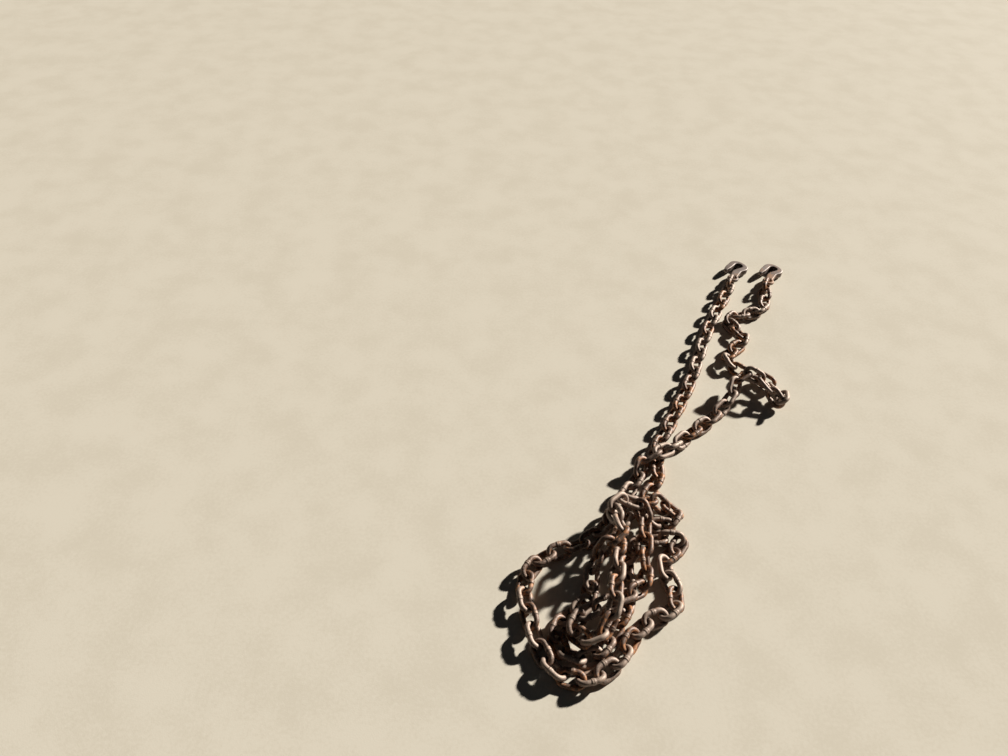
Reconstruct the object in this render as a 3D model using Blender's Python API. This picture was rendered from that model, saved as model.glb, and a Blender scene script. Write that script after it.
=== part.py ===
"""Heap of steel chain: one long rusted chain with a grab hook at each end.

The chain lies on the floor from the left hook down to a heap, winds through the heap and comes
back up to the right hook. The links are laid along a hand-drawn route, lowered onto the floor and
onto one another, and nudged apart until every bar is clear of the next one.

The part's frame: +Z up, the floor at Z = 0, +Y from the heap towards the hooks, and the origin
under the middle of the whole part. All lengths are in metres.
"""
import math
import random

import bmesh
import bpy
import numpy as np
from mathutils import Matrix

# Link sizes
BAR_DIAMETER = 0.0100
INSIDE_LENGTH = 0.0350
INSIDE_WIDTH = 0.0156

# Chain: its links are joined in short runs, each run one solid
LEFT_STRAND_LINKS = 21
HEAP_LINKS = 84
RIGHT_STRAND_LINKS = 33
LINKS_PER_RUN = 3

# Clearance between solids, clearance over the floor, and how deep a run's links sink together
CLEARANCE = 0.0003
FLOOR_CLEARANCE = 0.0001
RUN_WELD = 0.0009

# Grab hook sizes, and the way its eye points along the floor
HOOK_THICKNESS = 0.0170
HOOK_LENGTH = 0.0635
HOOK_NECK_WIDTH = 0.0210
HOOK_ARM_WIDTH = 0.0170
HOOK_BOWL_WIDTH = 0.0105
HOOK_PRONG_WIDTH = 0.0160
HOOK_TIP_WIDTH = 0.0050
HOOK_PRONG_LENGTH = 0.0460
THROAT_BOTTOM_WIDTH = 0.0210
THROAT_MOUTH_WIDTH = 0.0120
THROAT_TAPER_LENGTH = 0.0260
THROAT_SLANT = math.radians(25.5)
HOOK_EDGE_BEVEL = 0.0020
EYE_BAR_DIAMETER = 0.0085
EYE_HOLE_DIAMETER = 0.0135
HOOK_HEADING = math.radians(65.5)

# How the chain is laid: each joint falls short of taut by this share of the clearance, and the
# links lean to one side and the other by turns
SLACKNESS = 0.36
LAYER_HEIGHT = 0.0310
LEAN = math.radians(45)
LEAN_SPREAD = math.radians(12)
LEAN_SEED = 7
LAY_ROUNDS = 520
LOWERING_ROUNDS = 240
LOWERING_STEP = 0.0005
PLAN_HOLD = 0.02
# Links this much further apart than touching are looked at again only after some rounds
NEAR_MARGIN = 0.0040
ROUNDS_BETWEEN_SEARCHES = 8
# A nudge shared by several contacts is driven this much harder
SHARED_DRIVE = 1.3
# First and last link of the kinked stretch that stands on its own links and isn't lowered
PROPPED_LINKS = (112, 123)

# Colours of the bare materials
LINK_COLOR = (0.150, 0.095, 0.072, 1.0)
HOOK_COLOR = (0.190, 0.150, 0.125, 1.0)

# The chain's route from the left hook's eye to the right one's: X and Y, drawn for about this link
# size, and the layer that the chain is laid on, 0 for the floor
ROUTE = [
    # left strand, from its hook down to the crossing
    (0.216, 0.530, 0), (0.202, 0.496, 0), (0.180, 0.450, 0), (0.150, 0.395, 0), (0.122, 0.340, 0),
    (0.098, 0.280, 0), (0.075, 0.220, 0), (0.053, 0.155, 0), (0.027, 0.095, 0), (-0.003, 0.035, 0),
    (-0.035, -0.030, 0), (-0.063, -0.088, 0), (-0.070, -0.128, 0),
    # down into the heap
    (-0.075, -0.165, 0), (-0.088, -0.202, 0), (-0.102, -0.238, 0), (-0.107, -0.270, 0.5),
    # upper loop on the right
    (-0.084, -0.284, 0.6), (-0.050, -0.270, 0.1), (-0.046, -0.243, 0.3), (-0.076, -0.226, 1.2),
    # over the top of the heap and down its middle
    (-0.110, -0.230, 1.5), (-0.138, -0.252, 2), (-0.160, -0.288, 2.2), (-0.168, -0.328, 2.5),
    (-0.174, -0.372, 3), (-0.180, -0.415, 3.4), (-0.186, -0.460, 3.6), (-0.196, -0.500, 3.2),
    (-0.220, -0.530, 2.6), (-0.252, -0.532, 2.3), (-0.264, -0.502, 2.2),
    # back up the right side and over the top once more
    (-0.240, -0.478, 2.2), (-0.204, -0.460, 2.3), (-0.164, -0.444, 2.3), (-0.132, -0.426, 2.1),
    (-0.118, -0.390, 2.1), (-0.124, -0.350, 2.3), (-0.116, -0.312, 2.4), (-0.110, -0.274, 2.6),
    (-0.132, -0.246, 3), (-0.162, -0.245, 3), (-0.178, -0.278, 3.3), (-0.165, -0.312, 3.7),
    (-0.168, -0.345, 4.0),
    # down the left of the middle and round the inner loop, on the second layer
    (-0.202, -0.364, 3.4), (-0.222, -0.390, 1.8), (-0.224, -0.424, 1.2), (-0.230, -0.458, 1.1),
    (-0.262, -0.468, 1.1), (-0.288, -0.492, 1.1), (-0.290, -0.528, 1.2), (-0.266, -0.553, 1.3),
    (-0.230, -0.558, 1.3), (-0.200, -0.538, 1.1), (-0.186, -0.502, 1.1), (-0.164, -0.470, 1.1),
    (-0.152, -0.432, 1.1), (-0.154, -0.394, 1.1), (-0.154, -0.358, 1.1), (-0.138, -0.326, 1.1),
    # lower loop on the right
    (-0.104, -0.310, 1.1), (-0.070, -0.300, 0.6), (-0.040, -0.308, 0.2), (-0.056, -0.328, 0.1),
    (-0.086, -0.346, 0.2),
    # right edge and the near edge, on the floor
    (-0.080, -0.382, 0), (-0.064, -0.425, 0), (-0.074, -0.466, 0), (-0.112, -0.470, 0),
    (-0.144, -0.486, 0), (-0.160, -0.518, 0), (-0.181, -0.550, 0), (-0.210, -0.575, 0),
    (-0.246, -0.592, 0), (-0.284, -0.590, 0),
    # wide loop on the left, on the floor
    (-0.308, -0.560, 0), (-0.322, -0.522, 0), (-0.334, -0.482, 0), (-0.346, -0.445, 0),
    (-0.347, -0.405, 0), (-0.330, -0.367, 0), (-0.294, -0.346, 0), (-0.254, -0.334, 0),
    (-0.216, -0.318, 0), (-0.188, -0.292, 0), (-0.166, -0.258, 0), (-0.146, -0.222, 0),
    # out of the heap and over the left strand
    (-0.128, -0.190, 0.2), (-0.108, -0.158, 0.9), (-0.088, -0.128, 1.2), (-0.062, -0.102, 1.2),
    (-0.032, -0.072, 0.4),
    # right strand with its zigzag and its kinked, propped stretch
    (0.004, -0.045, 0), (0.044, -0.012, 0), (0.084, 0.026, 0), (0.118, 0.062, 0.2),
    (0.134, 0.092, 0.5), (0.146, 0.124, 1.0), (0.180, 0.130, 1.0), (0.212, 0.098, 0.6),
    (0.236, 0.062, 0.2), (0.247, 0.086, 0), (0.226, 0.132, 0), (0.180, 0.164, 0),
    (0.137, 0.200, 0), (0.151, 0.236, 0), (0.183, 0.262, 0), (0.206, 0.292, 0),
    (0.184, 0.320, 0), (0.164, 0.350, 0), (0.190, 0.374, 0), (0.228, 0.392, 0),
    (0.264, 0.392, 0), (0.282, 0.424, 0), (0.287, 0.470, 0), (0.310, 0.522, 0),
]

# Sizes worked out from the ones above
LINK_COUNT = LEFT_STRAND_LINKS + HEAP_LINKS + RIGHT_STRAND_LINKS
BAR_SIDES = 6
BEND_STEPS = 4
HALF_CORNER = math.radians(90 / BEND_STEPS)
RIDGE_TURN = math.pi / BAR_SIDES
# A six-sided bar has the round bar's area when its ridges stand out by this factor
RIDGE_FACTOR = math.sqrt(2 * math.pi / (BAR_SIDES * math.sin(2 * math.pi / BAR_SIDES)))
LINK_BEND = (INSIDE_WIDTH + BAR_DIAMETER) / 2
LINK_HALF_LEG = (INSIDE_LENGTH - INSIDE_WIDTH) / 2
EYE_BEND = (EYE_HOLE_DIAMETER + EYE_BAR_DIAMETER) / 2
LINK_RIDGE = RIDGE_FACTOR * BAR_DIAMETER / 2
EYE_RIDGE = RIDGE_FACTOR * EYE_BAR_DIAMETER / 2
# Radius of gyration that shares each nudge out between a shift and a turn
LINK_GYRATION = 0.35 * (INSIDE_LENGTH + 2 * BAR_DIAMETER)


def smooth_curve(points, steps=12):
    """Points on a smooth curve through the given ones, evenly spaced within each span."""
    ends = np.vstack([2 * points[0] - points[1], points, 2 * points[-1] - points[-2]])
    curve = []
    for before, start, end, after in zip(ends[:-3], ends[1:-2], ends[2:-1], ends[3:]):
        for t in np.arange(steps) / steps:
            curve.append(0.5 * (2 * start + (end - before) * t
                                + (2 * before - 5 * start + 4 * end - after) * t ** 2
                                + (3 * start - before - 3 * end + after) * t ** 3))
    curve.append(points[-1])
    return np.array(curve)


def lengths_along(curve):
    """Distance from the curve's start to each of its points."""
    return np.concatenate([[0.0], np.cumsum(np.linalg.norm(np.diff(curve, axis=0), axis=1))])


def joint_spacing():
    """Distance between the joints of the taut chain, and from an eye's centre to the nearest joint."""
    hold = math.cos(RIDGE_TURN)
    bearing = 2 * hold * LINK_RIDGE + (CLEARANCE - (LINKS_PER_RUN - 1) * RUN_WELD) / LINKS_PER_RUN
    eye_bearing = hold * (LINK_RIDGE + EYE_RIDGE) + CLEARANCE
    spacing = INSIDE_LENGTH + BAR_DIAMETER - bearing - SLACKNESS * CLEARANCE
    return spacing, EYE_BEND - eye_bearing + bearing / 2


def chain_curve():
    """The route as a smooth curve, its plan stretched until the chain just fills it."""
    spacing, margin = joint_spacing()
    chain_length = LINK_COUNT * spacing + 2 * margin
    floor = LINK_BEND * math.sin(LEAN) + LINK_RIDGE
    route = np.array(ROUTE)
    stretch = 1.0
    for _ in range(6):
        plan = route[:, :2] * stretch
        curve = smooth_curve(np.column_stack([plan, floor + LAYER_HEIGHT * route[:, 2]]))
        stretch *= chain_length / lengths_along(curve)[-1]
    return curve


def bar_axis(bend, half_leg):
    """Corners of a closed bar's axis: round ends drawn as half octagons, joined by two legs."""
    corner = bend / math.cos(HALF_CORNER)
    points = []
    for step in range(2 * BEND_STEPS):
        angle = (2 * step - BEND_STEPS + 1) * HALF_CORNER
        shift = half_leg if step < BEND_STEPS else -half_leg
        points.append((shift + corner * math.cos(angle), corner * math.sin(angle), 0.0))
    return np.array(points)


class Bodies:
    """The two hook eyes and all the links as bars in space: eye, links in order, eye."""

    def __init__(self):
        self.axis = np.stack([bar_axis(EYE_BEND, 0.0)] + [bar_axis(LINK_BEND, LINK_HALF_LEG)] * LINK_COUNT
                             + [bar_axis(EYE_BEND, 0.0)])
        self.ridge = np.array([EYE_RIDGE] + [LINK_RIDGE] * LINK_COUNT + [EYE_RIDGE])
        self.free = np.array([0.0] + [1.0] * LINK_COUNT + [0.0])
        self.edge = np.roll(self.axis, -1, axis=1) - self.axis
        self.outward = np.stack([self.edge[..., 1], -self.edge[..., 0], self.edge[..., 2]], -1)
        self.outward /= np.linalg.norm(self.outward, axis=-1)[..., None]
        self.ridges = np.stack([math.cos(turn) * self.outward + math.sin(turn) * np.array([0.0, 0.0, 1.0])
                                for turn in (RIDGE_TURN, 3 * RIDGE_TURN, 5 * RIDGE_TURN)], 2)
        self.surface = self.surface_points()
        curve = chain_curve()
        along = lengths_along(curve)
        margin = joint_spacing()[1]
        marks = np.linspace(margin, along[-1] - margin, LINK_COUNT + 1)
        joints = np.column_stack([np.interp(marks, along, curve[:, k]) for k in range(3)])
        self.centre = np.vstack([curve[0], (joints[:-1] + joints[1:]) / 2, curve[-1]])
        self.centre[[0, -1], 2] = eye_height()
        self.frame = np.stack([hook_frame()] + link_frames(joints) + [hook_frame()])
        number = np.arange(-1, LINK_COUNT + 1)
        self.run = number // LINKS_PER_RUN
        self.lowered = np.where((number >= PROPPED_LINKS[0]) & (number <= PROPPED_LINKS[1]), 0.0, self.free)

    def surface_points(self):
        """Corners of the faceted bars, in each bar's own frame."""
        mitre = self.outward + np.roll(self.outward, 1, axis=1)
        mitre /= np.linalg.norm(mitre, axis=-1)[..., None] * math.cos(HALF_CORNER)
        points = []
        for k in range(BAR_SIDES):
            turn = (2 * k + 1) * RIDGE_TURN
            offset = math.cos(turn) * mitre + math.sin(turn) * np.array([0.0, 0.0, 1.0])
            points.append(self.axis + self.ridge[:, None, None] * offset)
        return np.concatenate(points, 1)


def hook_frame():
    """Axes of a hook: X from its eye to its bowl, which rests on the floor, Z out of its upper face."""
    reach = HOOK_LENGTH + THROAT_BOTTOM_WIDTH / 2 + HOOK_BOWL_WIDTH
    half = HOOK_THICKNESS / 2
    eye_height = 2 * LINK_RIDGE + EYE_RIDGE + CLEARANCE + FLOOR_CLEARANCE
    tilt = math.asin(eye_height / math.hypot(reach, half)) - math.atan2(half, reach)
    heading = Matrix.Rotation(HOOK_HEADING, 3, 'Z')
    return np.array(heading @ Matrix.Rotation(tilt, 3, 'Y'))


def eye_height():
    """Height of a hook's eye when the hook's bowl touches the floor."""
    frame = hook_frame()
    rims = np.concatenate(hook_rims())
    under = np.column_stack([rims, np.full(len(rims), -HOOK_THICKNESS / 2)])
    return FLOOR_CLEARANCE - (under @ frame[2]).min()


def link_frames(joints):
    """Axes of each link: X along the chain, Y across the link in its own plane."""
    spread = random.Random(LEAN_SEED)
    frames = []
    for number, (start, end) in enumerate(zip(joints[:-1], joints[1:])):
        along = (end - start) / np.linalg.norm(end - start)
        side = np.cross([0.0, 0.0, 1.0], along)
        side /= np.linalg.norm(side)
        lean = (LEAN if number % 2 else -LEAN) + spread.uniform(-LEAN_SPREAD, LEAN_SPREAD)
        across = math.cos(lean) * side + math.sin(lean) * np.cross(along, side)
        frames.append(np.column_stack([along, across, np.cross(along, across)]))
    return frames


def nearest_points(start_a, edge_a, start_b, edge_b):
    """Where pairs of straight edges come nearest, as shares of the edges' lengths."""
    apart = start_a - start_b
    aa = (edge_a * edge_a).sum(-1)
    ab = (edge_a * edge_b).sum(-1)
    bb = (edge_b * edge_b).sum(-1)
    a_apart = (edge_a * apart).sum(-1)
    b_apart = (edge_b * apart).sum(-1)
    spread = aa * bb - ab * ab
    skew = spread > 1e-6 * aa * bb
    share_a = np.where(skew, (ab * b_apart - bb * a_apart) / np.where(skew, spread, 1.0), 0.5)
    share_b = np.clip((ab * np.clip(share_a, 0, 1) + b_apart) / bb, 0, 1)
    share_a = np.clip((ab * share_b - a_apart) / aa, 0, 1)
    share_b = np.clip((ab * share_a + b_apart) / bb, 0, 1)
    return share_a, share_b


def turned(frames, turns):
    """Frames turned by small rotation vectors and squared up again."""
    angle = np.linalg.norm(turns, axis=1)
    pole = turns / np.maximum(angle, 1e-12)[:, None]
    sin, cos = np.sin(angle)[:, None], np.cos(angle)[:, None]
    axes = []
    for k in range(2):
        axis = frames[:, :, k]
        lift = (pole * axis).sum(1)[:, None]
        axes.append(axis * cos + np.cross(pole, axis) * sin + pole * lift * (1 - cos))
    x_axis = axes[0] / np.linalg.norm(axes[0], axis=1)[:, None]
    z_axis = np.cross(x_axis, axes[1])
    z_axis /= np.linalg.norm(z_axis, axis=1)[:, None]
    return np.stack([x_axis, np.cross(z_axis, x_axis), z_axis], -1)


def near_pairs(bodies):
    """Numbers of all bodies that lie close enough to touch within a few rounds."""
    reach = 2 * np.linalg.norm(bodies.axis, axis=-1).max() + 2 * LINK_RIDGE + NEAR_MARGIN
    apart = bodies.centre[:, None] - bodies.centre[None]
    return np.nonzero(np.triu((apart ** 2).sum(-1) < reach ** 2, 1))


def bar_reach(bodies, body, edge_number, edges, normal):
    """How far a faceted bar stands out towards a neighbour; False where a nearer edge counts."""
    tangent = edges / np.linalg.norm(edges, axis=-1)[:, None]
    slip = (normal * tangent).sum(-1) ** 2
    local = np.einsum('nij,ni->nj', bodies.frame[body], normal)
    ridges = bodies.ridges[body, edge_number]
    reach = np.abs((ridges * local[:, None]).sum(-1)).max(-1)
    counts = slip <= math.sin(HALF_CORNER) ** 2 + 1e-6
    return bodies.ridge[body] * reach / np.maximum(1 - slip, 0.5), counts


def bar_contacts(bodies, first, second):
    """Contacts to mend this round: bodies, contact points, direction, excess gap and share."""
    joined = second - first == 1
    both_free = bodies.free[first] * bodies.free[second] > 0
    same_run = joined & both_free & (bodies.run[first] == bodies.run[second])
    corner = np.einsum('nij,nmj->nmi', bodies.frame, bodies.axis) + bodies.centre[:, None]
    edge = np.einsum('nij,nmj->nmi', bodies.frame, bodies.edge)
    start_a, edge_a = corner[first][:, :, None], edge[first][:, :, None]
    start_b, edge_b = corner[second][:, None], edge[second][:, None]
    share_a, share_b = nearest_points(start_a, edge_a, start_b, edge_b)
    point_a = start_a + share_a[..., None] * edge_a
    point_b = start_b + share_b[..., None] * edge_b
    apart = point_b - point_a
    distance = np.sqrt((apart ** 2).sum(-1))
    limit = 2 * max(LINK_RIDGE, EYE_RIDGE) / math.cos(HALF_CORNER) + CLEARANCE
    row, ka, kb = np.nonzero((distance < limit) | joined[:, None, None])
    point_a, point_b = point_a[row, ka, kb], point_b[row, ka, kb]
    normal = apart[row, ka, kb] / distance[row, ka, kb][:, None]
    body_a, body_b = first[row], second[row]
    reach_a, counts_a = bar_reach(bodies, body_a, ka, edge[body_a, ka], normal)
    reach_b, counts_b = bar_reach(bodies, body_b, kb, edge[body_b, kb], normal)
    excess = distance[row, ka, kb] - reach_a - reach_b - CLEARANCE
    excess += np.where(same_run[row], CLEARANCE + RUN_WELD, 0.0)
    excess[~(counts_a & counts_b)] = np.inf
    tightest = np.full(len(first), np.inf)
    np.minimum.at(tightest, row, excess)
    is_tightest = (excess <= tightest[row]) & np.isfinite(excess)
    keep = ((excess < 0) & ~same_run[row]) | (is_tightest & joined[row])
    row, normal, excess = row[keep], normal[keep], excess[keep]
    touching = np.bincount(row, minlength=len(first))[row]
    return body_a[keep], body_b[keep], point_a[keep], point_b[keep], normal, excess, 1 / touching


def nudge(bodies, first, second):
    """Moves every body a little, away from what it cuts and back towards what it bears on."""
    shift = np.zeros_like(bodies.centre)
    turn = np.zeros_like(bodies.centre)
    load = np.zeros(len(bodies.centre))
    body_a, body_b, point_a, point_b, normal, excess, share = bar_contacts(bodies, first, second)
    swing_a = np.cross(point_a - bodies.centre[body_a], normal) / LINK_GYRATION
    swing_b = np.cross(point_b - bodies.centre[body_b], normal) / LINK_GYRATION
    ease_a = bodies.free[body_a] * (1 + (swing_a ** 2).sum(1))
    ease_b = bodies.free[body_b] * (1 + (swing_b ** 2).sum(1))
    push = (excess * share * np.where(share < 1, SHARED_DRIVE, 1.0) / (ease_a + ease_b))[:, None]
    np.add.at(shift, body_a, push * normal)
    np.add.at(shift, body_b, -push * normal)
    np.add.at(turn, body_a, push * swing_a / LINK_GYRATION)
    np.add.at(turn, body_b, -push * swing_b / LINK_GYRATION)
    np.add.at(load, body_a, share)
    np.add.at(load, body_b, share)
    arms = np.einsum('nij,nmj->nmi', bodies.frame, bodies.surface)
    height = arms[..., 2] + bodies.centre[:, 2][:, None] - FLOOR_CLEARANCE
    lowest = height.argmin(1)
    sunk = np.nonzero(height.min(1) < 0)[0]
    swing = np.cross(arms[sunk, lowest[sunk]], [0.0, 0.0, 1.0]) / LINK_GYRATION
    lift = -height[sunk, lowest[sunk]] / (1 + (swing ** 2).sum(1))
    shift[sunk, 2] += lift
    turn[sunk] += lift[:, None] * swing / LINK_GYRATION
    load[sunk] += 1
    scale = (bodies.free * np.minimum(1.0, SHARED_DRIVE / np.sqrt(np.maximum(load, 1))))[:, None]
    bodies.centre += shift * scale
    bodies.frame[1:-1] = turned(bodies.frame, turn * scale)[1:-1]


def lay_chain():
    """Centres and axes of eye, links and eye, lowered onto each other and clear of each other."""
    bodies = Bodies()
    plan = bodies.centre[:, :2].copy()
    pairs = None
    for step in range(LAY_ROUNDS):
        if step % ROUNDS_BETWEEN_SEARCHES == 0:
            pairs = near_pairs(bodies)
        fade = max(0.0, 1 - step / LOWERING_ROUNDS)
        bodies.centre[:, 2] -= fade * LOWERING_STEP * bodies.lowered
        bodies.centre[:, :2] += fade * PLAN_HOLD * bodies.free[:, None] * (plan - bodies.centre[:, :2])
        nudge(bodies, *pairs)
    return np.round(bodies.centre, 6), np.round(bodies.frame, 7)


def steel(name, color, roughness):
    """A plain rusted steel material."""
    material = bpy.data.materials.new(name)
    material.use_nodes = True
    shader = material.node_tree.nodes["Principled BSDF"]
    shader.inputs["Base Color"].default_value = color
    shader.inputs["Roughness"].default_value = roughness
    shader.inputs["Metallic"].default_value = 0.6
    return material


def closed_mesh(name, bm):
    """A mesh from a finished bmesh, its faces turned outward."""
    bmesh.ops.recalc_face_normals(bm, faces=bm.faces[:])
    mesh = bpy.data.meshes.new(name)
    bm.to_mesh(mesh)
    bm.free()
    return mesh


def bar_mesh(name, bend, half_leg, ridge):
    """One closed bar, bent round at both ends and joined along its legs."""
    bm = bmesh.new()
    ring = bmesh.ops.create_circle(bm, cap_ends=False, segments=BAR_SIDES, radius=ridge)["verts"]
    start = (1 - BEND_STEPS) * HALF_CORNER
    corner = bend / math.cos(HALF_CORNER)
    place = (Matrix.Translation((half_leg, 0, 0)) @ Matrix.Rotation(start, 4, 'Z')
             @ Matrix.Translation((corner, 0, 0)) @ Matrix.Rotation(math.pi / 2, 4, 'X')
             @ Matrix.Diagonal((1 / math.cos(HALF_CORNER), 1, 1, 1)))
    bmesh.ops.transform(bm, matrix=place, verts=ring)
    bmesh.ops.spin(bm, geom=bm.verts[:] + bm.edges[:], cent=(half_leg, 0, 0), axis=(0, 0, 1),
                   angle=-2 * start, steps=BEND_STEPS - 1, use_duplicate=False)
    other = bmesh.ops.duplicate(bm, geom=bm.verts[:] + bm.edges[:] + bm.faces[:])["geom"]
    bmesh.ops.rotate(bm, verts=[item for item in other if isinstance(item, bmesh.types.BMVert)],
                     cent=(0, 0, 0), matrix=Matrix.Rotation(math.pi, 3, 'Z'))
    for side in (-1, 1):
        rim = [edge for edge in bm.edges if edge.is_boundary and side * edge.verts[0].co.y > 0]
        bmesh.ops.bridge_loops(bm, edges=rim)
    return closed_mesh(name, bm)


def throat_half(distance):
    """Half the throat's width at a distance from the middle of its round bottom."""
    share = min(1.0, distance / THROAT_TAPER_LENGTH)
    return (THROAT_BOTTOM_WIDTH + share * (THROAT_MOUTH_WIDTH - THROAT_BOTTOM_WIDTH)) / 2


def hook_stations():
    """Middle points and widths along the hook's flat band, from its eye round to its tip."""
    centre = np.array([HOOK_LENGTH, 0.0])
    back = np.array([-math.cos(THROAT_SLANT), math.sin(THROAT_SLANT)])
    up = np.array([math.sin(THROAT_SLANT), math.cos(THROAT_SLANT)])
    stations = [(np.array([EYE_BEND, 0.0]), 0.92 * HOOK_NECK_WIDTH)]
    for share, width in ((1.15, HOOK_NECK_WIDTH), (0.60, HOOK_ARM_WIDTH)):
        distance = share * THROAT_TAPER_LENGTH
        stations.append((centre + distance * back - (throat_half(distance) + width / 2) * up, width))
    for step in range(7):
        turn = math.pi * step / 6
        beside = HOOK_ARM_WIDTH if step < 3 else HOOK_PRONG_WIDTH
        width = HOOK_BOWL_WIDTH + (beside - HOOK_BOWL_WIDTH) * abs(math.cos(turn))
        reach = (THROAT_BOTTOM_WIDTH + width) / 2
        stations.append((centre - reach * (math.cos(turn) * up + math.sin(turn) * back), width))
    for share, width in ((0.30, HOOK_PRONG_WIDTH), (0.60, 0.95 * HOOK_PRONG_WIDTH),
                         (0.84, 0.70 * HOOK_PRONG_WIDTH), (1.0, HOOK_TIP_WIDTH)):
        distance = share * HOOK_PRONG_LENGTH
        stations.append((centre + distance * back + (throat_half(distance) + width / 2) * up, width))
    return stations


def hook_rims():
    """The two long sides of the hook's flat band, as rows of points from its eye round to its tip."""
    middle, width = (np.array(values) for values in zip(*hook_stations()))
    ahead = np.gradient(middle, axis=0)
    ahead /= np.linalg.norm(ahead, axis=1)[:, None]
    across = np.column_stack([-ahead[:, 1], ahead[:, 0]]) * width[:, None] / 2
    return middle + across, middle - across


def hook_body_mesh(name):
    """The hook's flat band as a bevelled plate, without its eye."""
    bm = bmesh.new()
    rows = [[bm.verts.new((x, y, -HOOK_THICKNESS / 2)) for x, y in sides] for sides in zip(*hook_rims())]
    for here, following in zip(rows[:-1], rows[1:]):
        bm.faces.new((here[0], here[1], following[1], following[0]))
    raised = bmesh.ops.extrude_face_region(bm, geom=bm.faces[:])["geom"]
    bmesh.ops.translate(bm, vec=(0, 0, HOOK_THICKNESS),
                        verts=[item for item in raised if isinstance(item, bmesh.types.BMVert)])
    bmesh.ops.recalc_face_normals(bm, faces=bm.faces[:])
    rim = [edge for edge in bm.edges if edge.calc_face_angle() > math.radians(60)
           and abs(edge.verts[0].co.z - edge.verts[1].co.z) < HOOK_THICKNESS / 2]
    bmesh.ops.bevel(bm, geom=rim, offset=HOOK_EDGE_BEVEL, segments=1, profile=0.5, affect='EDGES')
    return closed_mesh(name, bm)


def placed(name, mesh, centre, frame):
    """A copy of a mesh as a new object, its place taken into the mesh."""
    matrix = Matrix([list(row) for row in frame]).to_4x4()
    matrix.translation = centre
    copy = mesh.copy()
    copy.transform(matrix)
    node = bpy.data.objects.new(name, copy)
    bpy.context.scene.collection.objects.link(node)
    return node


def fill_pockets(mesh):
    """Takes out the shells of tiny pockets that are shut in where fused bars cross."""
    bm = bmesh.new()
    bm.from_mesh(mesh)
    unseen = set(bm.faces)
    pockets = []
    while unseen:
        shell = [unseen.pop()]
        for face in shell:
            beside = {other for edge in face.edges for other in edge.link_faces} & unseen
            unseen -= beside
            shell.extend(beside)
        if sum(face.calc_center_median().dot(face.normal) * face.calc_area() for face in shell) < 0:
            pockets.extend(shell)
    bmesh.ops.delete(bm, geom=pockets, context='FACES')
    bm.to_mesh(mesh)
    bm.free()


def fused(name, pieces, material):
    """One solid made of several overlapping pieces."""
    node = pieces[0]
    for piece in pieces[1:]:
        union = node.modifiers.new("union", 'BOOLEAN')
        union.operation = 'UNION'
        union.object = piece
    graph = bpy.context.evaluated_depsgraph_get()
    solid = bpy.data.meshes.new_from_object(node.evaluated_get(graph))
    fill_pockets(solid)
    node.modifiers.clear()
    node.data = solid
    node.name = name
    for piece in pieces[1:]:
        bpy.data.objects.remove(piece)
    solid.name = name
    solid.materials.clear()
    solid.materials.append(material)
    return node


def run_name(run):
    """Name of a run, after the stretch of the chain that its first link is in."""
    first = run * LINKS_PER_RUN
    stretches = (("left_strand_links", LEFT_STRAND_LINKS), ("heap_links", HEAP_LINKS),
                 ("right_strand_links", RIGHT_STRAND_LINKS))
    start = 0
    for stretch, count in stretches:
        if first < start + count:
            return f"{stretch}_{(first - start) // LINKS_PER_RUN + 1:02d}"
        start += count
    raise ValueError("no such run")


def build_hooks(centres, frames):
    """The two grab hooks, each lying flat at its end of the chain."""
    material = steel("hook_steel", HOOK_COLOR, 0.62)
    eye = bar_mesh("hook_eye", EYE_BEND, 0.0, EYE_RIDGE)
    band = hook_body_mesh("hook_band")
    nodes = []
    for name, end in (("grab_hook_left", 0), ("grab_hook_right", -1)):
        pieces = [placed(f"{name}_{part}", mesh, centres[end], frames[end])
                  for part, mesh in (("band", band), ("eye", eye))]
        nodes.append(fused(name, pieces, material))
    return nodes


def build_runs(centres, frames):
    """The chain's links, fused in short runs where they bear on each other."""
    material = steel("link_steel", LINK_COLOR, 0.70)
    link = bar_mesh("link", LINK_BEND, LINK_HALF_LEG, LINK_RIDGE)
    nodes = []
    for run in range(math.ceil(LINK_COUNT / LINKS_PER_RUN)):
        numbers = range(run * LINKS_PER_RUN + 1, min((run + 1) * LINKS_PER_RUN, LINK_COUNT) + 1)
        pieces = [placed(f"link_{number:03d}", link, centres[number], frames[number]) for number in numbers]
        nodes.append(fused(run_name(run), pieces, material))
    return nodes


def centre_plan(nodes):
    """Moves the whole part so that the middle of its plan is over the origin."""
    points = np.array([vertex.co for node in nodes for vertex in node.data.vertices])
    middle = (points.min(0) + points.max(0)) / 2
    for node in nodes:
        node.data.transform(Matrix.Translation((-middle[0], -middle[1], 0)))


def main():
    """Clears the scene and builds the hooks and the chain."""
    for leftover in list(bpy.data.objects):
        bpy.data.objects.remove(leftover)
    centres, frames = lay_chain()
    centre_plan(build_hooks(centres, frames) + build_runs(centres, frames))


main()
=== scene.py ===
"""Heap of steel chain: the looks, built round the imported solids.

One rusted chain of 138 welded links lies in a heap, with its two ends drawn out straight and a
forged grab hook on each end. The script lays the links by the same rule as the solids, puts a
round, welded and worn link in the place of every faceted one, and a rounded forged hook in the
place of each plate hook. Everything is in metres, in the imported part's own frame: +Z up, the floor
at Z = 0, +Y from the heap towards the hooks.
"""
import logging
import math
import random
from dataclasses import dataclass, field
from enum import Enum
from typing import Iterable, Sequence

import bmesh
import bpy
import numpy as np
from mathutils import Matrix, Vector


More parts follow.
